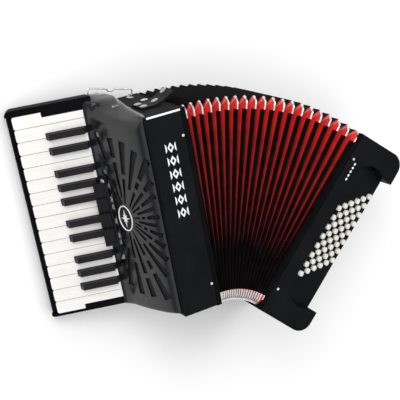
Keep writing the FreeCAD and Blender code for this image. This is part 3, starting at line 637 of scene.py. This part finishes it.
class Cover:
    """The grille's wall as a sheet: s runs along its side outline and y along the keyboard."""

    def __init__(self, steps=9):
        self.outline = smooth_through(GRILLE_PROFILE, steps)
        self.lengths = [0.0]
        for (x0, z0), (x1, z1) in zip(self.outline, self.outline[1:]):
            self.lengths.append(self.lengths[-1] + hypot(x1 - x0, z1 - z0))
        self.length = self.lengths[-1]
        self.crease_points = smooth_through(CREASE, steps)

    def on_outline(self, s):
        """The (x, z) of a place on the outline."""
        index = 0
        while index < len(self.outline) - 2 and self.lengths[index + 1] < s:
            index += 1
        x0, z0 = self.outline[index]
        x1, z1 = self.outline[index + 1]
        t = (s - self.lengths[index]) / (self.lengths[index + 1] - self.lengths[index])
        return x0 + (x1 - x0) * t, z0 + (z1 - z0) * t

    def at(self, s, inset=0.0):
        """The (x, z) of a place on the outline, drawn inward by an inset."""
        x, z = self.on_outline(s)
        low, high = max(s - 2.0, 0.0), min(s + 2.0, self.length)
        (x0, z0), (x1, z1) = self.on_outline(low), self.on_outline(high)
        size = hypot(x1 - x0, z1 - z0)
        return x + (z1 - z0) / size * inset, z - (x1 - x0) / size * inset

    def crease(self, s):
        """Height of the crease above a place on the outline."""
        x = self.at(s)[0]
        row = self.crease_points
        for (x0, _, y0), (x1, _, y1) in zip(row, row[1:]):
            if x0 <= x <= x1:
                return y0 + (y1 - y0) * (x - x0) / (x1 - x0)
        return row[-1][2]

    def place_of(self, height):
        """The place on the outline at a height z above the back, on the side over the keys."""
        spans = zip(self.outline, self.outline[1:], self.lengths, self.lengths[1:])
        for (_, z0), (_, z1), low, high in spans:
            if z0 <= height <= z1:
                return low + (high - low) * (height - z0) / (z1 - z0)
        return self.length


COVER = Cover()
WALL_THICK = 2.5
FILLET = 11.0
LOW_FILLET = 4.0
BADGE_Z = 105.0
RAYS = 30
RAY_FILL = 0.50
SLOT_BORDER = 11.0
SLOT_LOW_BORDER = 24.0
SLOT_HIGH_BORDER = 29.0
SLOT_SHORTEST = 6.0
BADGE_CLEAR = (18.0, 23.0)
REGISTER_NOTCH = (104.0, 208.0)
REGISTER_NOTCH_TOP = 82.0
BADGE_S = COVER.place_of(BADGE_Z)
S_STEPS = 64
Y_STEPS = 72


SLOT_PATTERNS = [
    [(0.0, 0.45), (0.52, 0.62), (0.68, 1.0)],
    [(0.40, 0.92)],
    [(0.0, 0.52), (0.58, 1.0)],
    [(0.26, 0.70), (0.76, 1.0)],
]


def ray_reach(angle):
    """How far a ray runs before it meets the plain border of the grille."""
    reach = 10.0
    while reach < 170.0:
        s = BADGE_S + reach * cos(angle)
        y = BADGE_Y + reach * sin(angle)
        if not SLOT_BORDER < s < COVER.length - SLOT_BORDER:
            break
        if not GRILLE_LOW + SLOT_LOW_BORDER < y < COVER.crease(s) - SLOT_HIGH_BORDER:
            break
        reach += 1.0
    return reach


def grille_slots():
    """Outlines (s, y) of the broken slots that run out from the badge like a sunburst."""
    slots = []
    spread = tan(pi / RAYS) * RAY_FILL
    for index in range(RAYS):
        angle = 2 * pi * (index + 0.5) / RAYS
        reach = ray_reach(angle)
        clear = hypot(BADGE_CLEAR[0] * cos(angle), BADGE_CLEAR[1] * sin(angle))
        for first, last in SLOT_PATTERNS[index % len(SLOT_PATTERNS)]:
            begin = max(clear, reach * first)
            finish = reach * last
            if finish - begin < SLOT_SHORTEST:
                continue
            corners = []
            for out, side in ((begin, -1), (finish, -1), (finish, 1), (begin, 1)):
                s = BADGE_S + out * cos(angle) - side * out * spread * sin(angle)
                y = BADGE_Y + out * sin(angle) + side * out * spread * cos(angle)
                corners.append((s, y))
            slots.append(corners)
    return slots


def dense(outline, step=3.0):
    """A closed outline with extra points along its sides."""
    result = []
    for (s0, y0), (s1, y1) in zip(outline, outline[1:] + outline[:1]):
        count = max(int(hypot(s1 - s0, y1 - y0) / step), 1)
        for index in range(count):
            t = index / count
            result.append(Vector((s0 + (s1 - s0) * t, y0 + (y1 - y0) * t)))
    return result


def clear_of(spot, outline, margin=1.2):
    """Whether a point is outside a closed outline by some millimetres."""
    xs = [corner.x for corner in outline]
    ys = [corner.y for corner in outline]
    if not min(xs) - margin < spot.x < max(xs) + margin:
        return True
    if not min(ys) - margin < spot.y < max(ys) + margin:
        return True
    inside = False
    near = 1e9
    for a, b in zip(outline, outline[1:] + outline[:1]):
        run = b - a
        t = min(max((spot - a).dot(run) / run.length_squared, 0.0), 1.0)
        near = min(near, (spot - a - run * t).length)
        if (a.y > spot.y) != (b.y > spot.y):
            if spot.x < a.x + (spot.y - a.y) * (b.x - a.x) / (b.y - a.y):
                inside = not inside
    return not inside and near > margin


def wall_spot(s, share):
    """A place on the plain wall: share runs from its lower border to the foot of the crease."""
    low = GRILLE_LOW + LOW_FILLET
    return Vector((s, low + (COVER.crease(s) - FILLET - low) * share))


def wall_sheet(s_values):
    """Points and triangles of the wall with the slots left open."""
    holes = [dense(slot) for slot in grille_slots()]
    notch_end = COVER.place_of(REGISTER_NOTCH_TOP)
    low, high = REGISTER_NOTCH
    holes.append(dense([(-1.0, low), (notch_end, low), (notch_end, high), (-1.0, high)]))
    ring = [wall_spot(s, 0.0) for s in s_values]
    ring += [wall_spot(s_values[-1], j / Y_STEPS) for j in range(1, Y_STEPS)]
    ring += [wall_spot(s, 1.0) for s in reversed(s_values)]
    ring += [wall_spot(s_values[0], j / Y_STEPS) for j in range(Y_STEPS - 1, 0, -1)]
    spots = list(ring)
    regions = [list(range(len(ring)))]
    for hole in holes:
        regions.append(list(range(len(spots), len(spots) + len(hole))))
        spots += hole
    for s in s_values[1:-1]:
        for j in range(1, Y_STEPS):
            spot = wall_spot(s, j / Y_STEPS)
            if all(clear_of(spot, hole) for hole in holes):
                spots.append(spot)
    flat, _, triangles, _, _, origins = delaunay_2d_cdt(spots, [], regions, 0, 1e-4)
    kept = [list(t) for t, origin in zip(triangles, origins) if list(origin) == [0]]
    return flat, kept


# Seam of the cap, from the end of the keys round the back and over the case to its front edge, and
# the crown of the cap beside it, both as (share of the way, x, y, z).
SEAM = [(0.0, -92.0, 322.6, 14.0), (0.2, -64.0, 322.0, 3.0), (0.34, -42.0, 305.2, 4.0)]
SEAM += [(0.5, -45.5, 305.2, 60.0), (0.7, -50.5, 305.2, 110.0), (0.88, -54.5, 305.2, 148.0)]
SEAM += [(1.0, -60.5, 305.0, 172.0)]
CROWN = [(0.0, -98.0, 332.3, 54.0), (0.15, -84.0, 328.5, 44.0), (0.34, -62.0, 323.2, 27.0)]
CROWN += [(0.5, -57.0, 320.6, 52.0), (0.7, -61.0, 311.0, 103.0), (0.88, -63.0, 306.6, 148.0)]
CROWN += [(1.0, -63.0, 305.2, 170.0)]
# Brow of the cap, between the crease and the crown.
BROW = [(0.0, -104.0, 328.0, 59.0), (0.1, -98.5, 324.2, 69.5), (0.18, -90.0, 323.6, 71.0)]
BROW += [(0.34, -72.0, 322.8, 73.0), (0.45, -63.8, 321.6, 76.0), (0.6, -67.0, 311.5, 100.0)]
BROW += [(0.7, -69.5, 305.5, 121.0), (0.88, -66.5, 301.0, 155.0), (1.0, -63.0, 300.5, 168.8)]


def between(rows, share):
    """The values of a table at a share of the way."""
    for first, second in zip(rows, rows[1:]):
        if share <= second[0]:
            t = (share - first[0]) / (second[0] - first[0])
            return [a + (b - a) * t for a, b in zip(first[1:], second[1:])]
    return list(rows[-1][1:])


def bend(first, corner, last, steps):
    """Points of a soft bend round a corner."""
    points = []
    for step in range(steps + 1):
        t = step / steps
        points.append(first * (1 - t) ** 2 + corner * 2 * t * (1 - t) + last * t * t)
    return points


def cap_row(s):
    """From the upper border of the wall round the crease and over the cap to its seam."""
    x, z = COVER.at(s)
    high = COVER.crease(s)
    foot = treble(x, high - FILLET, z)
    corner = treble(x, high + 2.0, z)
    crown = treble(*between(CROWN, s / COVER.length))
    seam = treble(*between(SEAM, s / COVER.length))
    brow = treble(*between(BROW, s / COVER.length))
    run = brow - corner
    turn = corner + run * min(FILLET * MM / max(run.length, 1e-6), 0.6)
    row = bend(foot, corner, turn, 6)
    row += [Vector(point) for point in smooth_through([turn, brow, crown, seam], 5)[1:]]
    return row


def foot_row(s):
    """From the lower border of the wall round its edge and along the underside."""
    x, z = COVER.at(s)
    top = treble(x, GRILLE_LOW + LOW_FILLET, z)
    corner = treble(x, GRILLE_LOW, z)
    inner = treble(CASE_LEFT - 0.5, GRILLE_LOW, z)
    run = inner - corner
    turn = corner + run * min(LOW_FILLET * MM / max(run.length, 1e-6), 0.6)
    row = bend(top, corner, turn, 4)
    row += [turn.lerp(inner, step / 3) for step in range(1, 4)]
    return row


def make_grille():
    """Slotted wall, rounded crease and cap of the cover over the key levers, as one closed shell."""
    s_values = [COVER.length * index / S_STEPS for index in range(S_STEPS + 1)]
    flat, faces = wall_sheet(s_values)
    points = []
    for spot in flat:
        x, z = COVER.at(spot.x)
        points.append(treble(x, spot.y, z))
    for row_of in (cap_row, foot_row):
        rows = [row_of(s) for s in s_values]
        start = len(points)
        points += [point for row in rows for point in row]
        faces += [[start + index for index in face] for face in grid_faces(len(rows), len(rows[0]))]
    obj = new_piece("grille_cover", points, faces, ["grille"], smooth=180)
    turn_outward(obj, treble(-60, 150, 60))
    thick = obj.modifiers.new("thickness", "SOLIDIFY")
    thick.thickness = WALL_THICK * MM
    thick.offset = -1.0
    apply_modifiers(obj)
    shade(obj, 50)
    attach(obj, "treble_side")
    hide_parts("treble_grille")


def turn_outward(obj, inside):
    """Turns an open sheet so that its normals point away from a point inside."""
    mesh = obj.data
    facing = sum((face.center - inside).dot(face.normal) * face.area for face in mesh.polygons)
    if facing < 0:
        mesh.flip_normals()


def apply_modifiers(obj):
    """Makes the modified shape the piece's own mesh."""
    bpy.context.view_layer.update()
    evaluated = obj.evaluated_get(bpy.context.evaluated_depsgraph_get())
    mesh = bpy.data.meshes.new_from_object(evaluated)
    obj.modifiers.clear()
    obj.data = mesh


MESH_STEPS = 40
MESH_START = 16.0
MESH_END = 14.0
MESH_ROWS = (18.0, 150.0, 284.0)


def make_grille_mesh():
    """Fine black mesh stretched behind the slots."""
    run = COVER.length - MESH_START - MESH_END
    places = [MESH_START + run * index / MESH_STEPS for index in range(MESH_STEPS + 1)]
    outline = [COVER.at(s, 4.2) for s in places] + [COVER.at(s, 4.7) for s in reversed(places)]
    build = Build()
    build.loft([[treble(x, y, z) for x, z in outline] for y in MESH_ROWS])
    obj = build.piece("grille_mesh", ["mesh"], "treble_side")
    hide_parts("grille_cloth")


BADGE_TILT = radians(22.0)
BADGE_WIDE = 14.0
BADGE_TALL = 20.0


def on_badge(across, up, lift):
    """Row-frame point on the badge, from its middle."""
    x, z = COVER.at(BADGE_S)
    x += across * sin(BADGE_TILT) - lift * cos(BADGE_TILT)
    z += across * cos(BADGE_TILT) + lift * sin(BADGE_TILT)
    return treble(x, BADGE_Y + up, z)


def oval(wide, tall, lift, steps=48):
    """Loop of points on an oval parallel to the badge."""
    loop = []
    for step in range(steps):
        angle = 2 * pi * step / steps
        loop.append(on_badge(wide * cos(angle), tall * sin(angle), lift))
    return loop


def make_badge():
    """Plain oval badge: a domed dark plate, a bright rim and an eight-armed star."""
    build = Build()
    dome = ((13.6, 19.6, -0.8), (13.6, 19.6, 1.0), (9.0, 13.0, 1.5), (3.0, 4.5, 1.7))
    build.loft([oval(wide, tall, lift) for wide, tall, lift in dome])
    rims = []
    for step in range(8):
        angle = 2 * pi * step / 8
        out = 0.95 * cos(angle)
        rims.append(oval(BADGE_WIDE - 0.9 + out, BADGE_TALL - 0.9 + out, 1.4 + 0.9 * sin(angle)))
    build.loft(rims, mark=1, closed=True)
    for arm in range(8):
        angle = 2 * pi * arm / 8 + pi / 2
        long = 1.0 if arm % 2 == 0 else 0.62
        tip = (9.0 * long * cos(angle), 13.5 * long * sin(angle))
        side = (-sin(angle) * 1.25, cos(angle) * 1.25)
        middle = (tip[0] * 0.35, tip[1] * 0.35)
        shape = [(0.0, 0.0), (middle[0] + side[0], middle[1] + side[1]), tip]
        shape.append((middle[0] - side[0], middle[1] - side[1]))
        low = [on_badge(a, b, 1.2) for a, b in shape]
        high = [on_badge(a, b, 2.1) for a, b in shape]
        build.loft([low, high], mark=1)
    obj = build.piece("oval_badge", ["dark", "white"], "treble_side")
    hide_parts("grille_badge")


make_grille()
make_grille_mesh()
make_badge()


# ---------------------------------------------------------------------------------------------
# Ornament on the panels.
ORNAMENT_X = -33.0
ORNAMENT_TOP = 254.0
ORNAMENT_STEP = 19.4
ORNAMENT_SIZE = (16.5, 15.0)
BASS_ORNAMENT_X = 21.3
BASS_ORNAMENT_TOP = 263.2
BASS_ORNAMENT_STEP = 6.6


def ornament(build, place, wide, tall, lift):
    """An open lozenge between two small wedges; place turns (across, up, height) into a point."""
    inner, hole = 0.30, 0.14
    outer_ring = [(0, 0.5), (inner, 0), (0, -0.5), (-inner, 0)]
    inner_ring = [(a * hole / inner, b * hole / inner) for a, b in outer_ring]
    loops = []
    for ring, height in ((outer_ring, 0.0), (outer_ring, lift), (inner_ring, lift), (inner_ring, 0.0)):
        loops.append([place(a * wide, b * tall, height) for a, b in ring])
    build.loft(loops, closed=True)
    for side in (-1, 1):
        wedge = [(0.5 * side, 0.45), (0.5 * side, -0.45), (0.37 * side, -0.22), (0.37 * side, 0.22)]
        low = [place(a * wide, b * tall, 0.0) for a, b in wedge]
        high = [place(a * wide, b * tall, lift) for a, b in wedge]
        build.loft([low, high])


def make_ornaments():
    """Generic white figures down the treble panel and a row of small lozenges on the bass panel."""
    build = Build()
    for number in range(6):
        middle = ORNAMENT_TOP - ORNAMENT_STEP * number

        def place(across, up, height):
            return treble(ORNAMENT_X + across, middle + up, DEPTH + height)

        ornament(build, place, *ORNAMENT_SIZE, 0.5)
    build.piece("panel_ornament", ["white"], "treble_side")
    build = Build()
    for number in range(5):
        middle = BASS_ORNAMENT_TOP - BASS_ORNAMENT_STEP * number
        shape = [(0, 2.6), (1.9, 0), (0, -2.6), (-1.9, 0)]
        loops = []
        for z in (DEPTH, DEPTH + 0.4):
            loops.append([bass(BASS_ORNAMENT_X + a, middle + b, z) for a, b in shape])
        build.loft(loops)
    build.piece("bass_ornament", ["white"], "bass_side")


make_ornaments()


# ---------------------------------------------------------------------------------------------
# Keys, cases and fittings carried over from the CAD model.
for number in range(1, WHITE_KEYS + 1):
    refinish("white_key_%02d" % number, "ivory", 0.5)
for number in range(1, 11):
    refinish("black_key_%02d" % number, "ebony", 0.4)
for number in range(1, 7):
    refinish("bass_button_column_%d" % number, "button")
for number in range(1, 4):
    refinish("register_switch_%d" % number, "dark", 0.5)

# The look and the width of the rounded edges of each other node.
CARRIED_OVER = {
    "register_plate": ("dark", 0.4),
    "treble_case": ("panel", 0.8),
    "treble_bellows_frame": ("case", 0.8),
    "bass_bellows_frame": ("case", 0.8),
    "bass_case": ("panel", 0.6),
    "bass_button_board": ("panel", 0.3),
    "keyboard_bed": ("case", 0.6),
    # The trim strip is chrome; its white enamel colour is a painted reflection that stands in for the
    # chrome's shine.
    "treble_trim_strip": ("white", 0.2),
    "treble_bellows_pins": ("chrome", 0.2),
    "bass_bellows_pins": ("chrome", 0.2),
    "treble_soundboard": ("wood", 0.0),
    "treble_reed_blocks": ("wood", 0.0),
    "bass_reed_blocks": ("wood", 0.0),
    "key_axle": ("steel", 0.0),
    "strap_brackets": ("chrome", 0.3),
    "air_button": ("dark", 0.5),
    "bass_feet": ("rubber", 0.3),
}
for node, (look, width) in CARRIED_OVER.items():
    refinish(node, look, width)


# ---------------------------------------------------------------------------------------------
# Straps and small fittings.
STITCH_PITCH = 4.2
STITCH_LONG = 2.7
STITCH_INSET = 2.6
STITCH_RADIUS = 0.38
STITCH_SINK = 0.4


class Band:
    """A leather band that follows a smooth line in (x, y) and has the same width all along."""

    def __init__(self, line, z_range, half, place):
        self.line = smooth_through(line, 8)
        self.z_range = z_range
        self.half = half
        self.place = place
        self.lengths = [0.0]
        for (x0, y0), (x1, y1) in zip(self.line, self.line[1:]):
            self.lengths.append(self.lengths[-1] + hypot(x1 - x0, y1 - y0))

    def at(self, along, lift, z):
        """Row-frame point at a length along the band, lifted off its middle."""
        index = 0
        while index < len(self.line) - 2 and self.lengths[index + 1] < along:
            index += 1
        (x0, y0), (x1, y1) = self.line[index], self.line[index + 1]
        size = self.lengths[index + 1] - self.lengths[index]
        t = (along - self.lengths[index]) / size
        x = x0 + (x1 - x0) * t - (y1 - y0) / size * lift
        y = y0 + (y1 - y0) * t + (x1 - x0) / size * lift
        return self.place(x, y, z)

    def leather(self, build):
        """The band itself, with rounded edges and a slightly crowned face."""
        low, high = self.z_range
        half = self.half
        soft = half * 0.7
        ring = [(-half, low + soft), (-soft * 0.3, low), (soft * 0.3, low), (half, low + soft)]
        ring += [(half + 0.25, (low + high) / 2), (half, high - soft), (soft * 0.3, high)]
        ring += [(-soft * 0.3, high), (-half, high - soft)]
        loops = []
        for along in self.lengths:
            loops.append([self.at(along, lift, z) for lift, z in ring])
        build.loft(loops)

    def stitches(self, build, mark):
        """Rows of thread near both edges, on both faces of the band."""
        edges = (self.z_range[0] + STITCH_INSET, self.z_range[1] - STITCH_INSET)
        for side, z in ((1, edges[0]), (1, edges[1]), (-1, edges[0]), (-1, edges[1])):
            lift = side * (self.half + 0.1)
            along = STITCH_PITCH
            while along < self.lengths[-1] - STITCH_PITCH:
                path = []
                for step in (-1.0, -0.6, 0.0, 0.6, 1.0):
                    sink = (abs(step) > 0.9) * side * STITCH_SINK
                    path.append(self.at(along + step * STITCH_LONG / 2, lift - sink, z))
                build.tube(path, STITCH_RADIUS, 6, mark)
                along += STITCH_PITCH


SNAP = [(0.0, 5.6), (0.9, 5.6), (1.3, 5.0), (1.3, 4.0), (1.9, 3.4), (2.3, 2.0), (2.4, 0.5)]
STRAP_HALF = 1.3


def make_top_strap():
    """Undone bellows strap: stitched leather with four snaps, and the stud that it closes on."""
    line = [(-44.0, 306.1), (-32.0, 306.1), (-22.5, 306.2), (-7.0, 310.6), (9.3, 319.8)]
    band = Band(line, (85.0, 125.0), STRAP_HALF, treble)
    build = Build()
    band.leather(build)
    band.stitches(build, 1)
    for along, z in ((6.0, 94.0), (6.0, 116.0), (29.0, 106.0), (band.lengths[-1] - 5.0, 97.0)):
        foot = band.at(along, STRAP_HALF, z)
        build.turned(foot, band.at(along, STRAP_HALF + 1.0, z) - foot, SNAP, 24, 2)
    obj = build.piece("top_strap", ["leather", "thread", "steel"], "treble_side")
    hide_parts("top_bellows_strap")
    build = Build()
    build.turned(treble(-16.0, CASE_TOP, 66.0), Vector((0, 1, 0)), SNAP, 24)
    build.piece("strap_stud", ["chrome"], "treble_side")


def make_hand_strap():
    """Stitched leather hand strap that bows out from the bass end."""
    x = BASS_OUTER
    line = [(x, 38.0), (x + 20.3, 91.0), (x + 25.2, 156.0), (x + 20.3, 221.0), (x, 274.0)]
    band = Band(line, (30.0, 68.0), 1.8, bass)
    build = Build()
    band.leather(build)
    band.stitches(build, 1)
    obj = build.piece("stitched_hand_strap", ["leather", "thread"], "bass_side")
    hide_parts("hand_strap")


WHEEL_RIDGES = 30
WHEEL_GROOVE = 0.45


def make_wheel():
    """Knurled wheel that draws the hand strap tight."""
    foot = bass(BASS_OUTER - 30.0, BASS_TOP + 1.2, 49.0)
    way = (bass(0, 1, 0) - bass(0, 0, 0)).normalized()
    side = Vector((0, 0, 1))
    other = way.cross(side)
    profile = [(0.0, 8.2, 0), (0.7, 9.0, 1), (5.3, 9.0, 1), (6.0, 8.2, 0), (6.0, 3.0, 0)]
    loops = []
    for along, radius, groove in profile:
        ring = []
        for step in range(WHEEL_RIDGES * 4):
            depth = WHEEL_GROOVE * groove * (step % 4 in (2, 3))
            angle = 2 * pi * step / (WHEEL_RIDGES * 4)
            arm = (side * cos(angle) + other * sin(angle)) * (radius - depth) * MM
            ring.append(foot + way * along * MM + arm)
        loops.append(ring)
    build = Build()
    build.loft(loops)
    obj = build.piece("knurled_wheel", ["chrome"], "adjuster_wheel")
    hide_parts("adjuster_wheel")


BAIL_LEFT = (-86.0, CAP_HIGH + 5.2, 32.0)
BAIL_RIGHT = (-22.0, CASE_TOP + 3.9, 25.0)
BAIL_WIRE = 1.2
BAIL_OVERHANG = 3.3
BAIL_HEIGHT = 10.2
BAIL_DIP = 3.4
BAIL_BEND = 3.0


def make_bail():
    """One bright wire bent into the bail that the shoulder straps hang from."""
    left, right = treble(*BAIL_LEFT), treble(*BAIL_RIGHT)
    way = (right - left).normalized()
    rise = Vector((-way.y, way.x, 0)).normalized()
    middle = (left + right) / 2
    half = (right - left).length / 2 / MM
    wide = half + BAIL_OVERHANG
    low = BAIL_HEIGHT - BAIL_DIP
    bends = [(3.0 - half, 0.0), (-wide, 0.0), (-wide, BAIL_HEIGHT), (-6.5, BAIL_HEIGHT), (-4.0, low)]
    bends += [(4.0, low), (6.5, BAIL_HEIGHT), (wide, BAIL_HEIGHT), (wide, 0.0), (half - 3.0, 0.0)]
    corners = [middle + (way * across + rise * up) * MM for across, up in bends]
    path = [corners[0]]
    for before, corner, after in zip(corners, corners[1:], corners[2:]):
        reach = min(BAIL_BEND * MM, (before - corner).length * 0.45, (after - corner).length * 0.45)
        first = corner + (before - corner).normalized() * reach
        last = corner + (after - corner).normalized() * reach
        path += bend(first, corner, last, 5)
    path.append(corners[-1])
    build = Build()
    build.tube(path, BAIL_WIRE, 12)
    obj = build.piece("bail_wire", ["chrome"], "strap_bail", 60.0)
    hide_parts("strap_bail")


def make_cover_fittings():
    """Bright catch on the cap and the round knob on the wall of the grille."""
    build = Build()
    bar = [(-77.0, 311.0), (-67.5, 310.0), (-67.2, 313.6), (-68.4, 315.2)]
    bar += [(-75.6, 316.0), (-77.2, 314.8)]
    build.loft([[treble(x, y, z) for x, y in bar] for z in (93.4, 96.6)])
    build.piece("cap_catch", ["chrome"], "treble_side")
    build = Build()
    x, z = COVER.at(COVER.place_of(70.0))
    out = Vector((-cos(BADGE_TILT), 0.0, sin(BADGE_TILT)))
    foot = treble(x, 204.8, z) - out * 3.0 * MM
    build.turned(foot, out, [(0.0, 7.0), (5.0, 7.0), (5.8, 6.4), (5.8, 5.0)], 32, 0)
    build.turned(foot, out, [(0.0, 4.9), (6.2, 4.9), (7.0, 4.2), (7.3, 2.5), (7.4, 0.4)], 32, 1)
    build.piece("cover_knob", ["dark", "steel"], "treble_side")


make_top_strap()
make_hand_strap()
make_wheel()
make_bail()
make_cover_fittings()


# ---------------------------------------------------------------------------------------------
# Floor, light and camera.
FLOOR_HALF = 6.0
FLOOR_Z = -0.0005


def make_stage():
    """Pale floor under the instrument."""
    mesh = bpy.data.meshes.new("floor")
    corners = [(-FLOOR_HALF, -FLOOR_HALF), (FLOOR_HALF, -FLOOR_HALF), (FLOOR_HALF, FLOOR_HALF)]
    corners.append((-FLOOR_HALF, FLOOR_HALF))
    mesh.from_pydata([(x, y, FLOOR_Z) for x, y in corners], [], [(0, 1, 2, 3)])
    floor = bpy.data.objects.new("floor", mesh)
    bpy.context.scene.collection.objects.link(floor)
    finish = Finish("pale_floor", Specular_IOR_Level=0.1)
    finish.colour(finish.ramp(finish.noise(300.0), (0.3, (0.90, 0.90, 0.90)), (0.7, (0.93, 0.93, 0.93))))
    finish.rough(finish.noise(40.0), 0.7, 0.8)
    mesh.materials.append(finish.material)


def area_light(name, place, target, size, power):
    """A square soft light at a row-frame place in metres, turned towards a target."""
    data = bpy.data.lights.new(name, "AREA")
    data.size = size
    data.energy = power
    light = bpy.data.objects.new(name, data)
    light.location = place
    light.rotation_euler = (Vector(target) - Vector(place)).to_track_quat("-Z", "Y").to_euler()
    bpy.context.scene.collection.objects.link(light)


HORIZON_LIGHT = 0.2
SKY_LIGHT = 1.05


def make_light():
    world = bpy.data.worlds.new("studio")
    bpy.context.scene.world = world
    world.use_nodes = True
    nodes = world.node_tree.nodes
    links = world.node_tree.links
    height = nodes.new("ShaderNodeSeparateXYZ")
    links.new(nodes.new("ShaderNodeTexCoord").outputs["Generated"], height.inputs[0])
    strength = nodes.new("ShaderNodeMapRange")
    strength.inputs["From Min"].default_value = 0.05
    strength.inputs["From Max"].default_value = 0.70
    strength.inputs["To Min"].default_value = HORIZON_LIGHT
    strength.inputs["To Max"].default_value = SKY_LIGHT
    links.new(height.outputs["Z"], strength.inputs["Value"])
    links.new(strength.outputs["Result"], nodes["Background"].inputs["Strength"])
    nodes["Background"].inputs["Color"].default_value = (1.0, 1.0, 1.0, 1.0)
    middle = (0.0, 0.05, 0.05)
    area_light("key_light", (-0.9, 1.5, 1.7), middle, 1.2, 22.0)
    area_light("fill_light", (1.5, 0.6, 1.6), middle, 1.0, 8.0)


CAMERA_PLACE = (-561.9, 622.3, 1491.2)
CAMERA_RIGHT = Vector((0.8762, -0.1744, 0.4493))
CAMERA_UP = Vector((0.2849, 0.9394, -0.1908))
CAMERA_BACK = Vector((-0.3888, 0.2952, 0.8728))
LENS = 94.18
SHIFT_X = -0.0404
SHIFT_Y = -0.0313


def make_camera():
    data = bpy.data.cameras.new("camera")
    data.lens = LENS
    data.sensor_width = 36.0
    data.shift_x = SHIFT_X
    data.shift_y = SHIFT_Y
    data.clip_end = 20.0
    camera = bpy.data.objects.new("camera", data)
    axes = Matrix((CAMERA_RIGHT, CAMERA_UP, CAMERA_BACK)).transposed()
    camera.matrix_world = Matrix.Translation(treble(*CAMERA_PLACE)) @ axes.to_4x4()
    bpy.context.scene.collection.objects.link(camera)
    bpy.context.scene.camera = camera


make_stage()
make_light()
make_camera()
bpy.context.scene.view_settings.view_transform = "Standard"

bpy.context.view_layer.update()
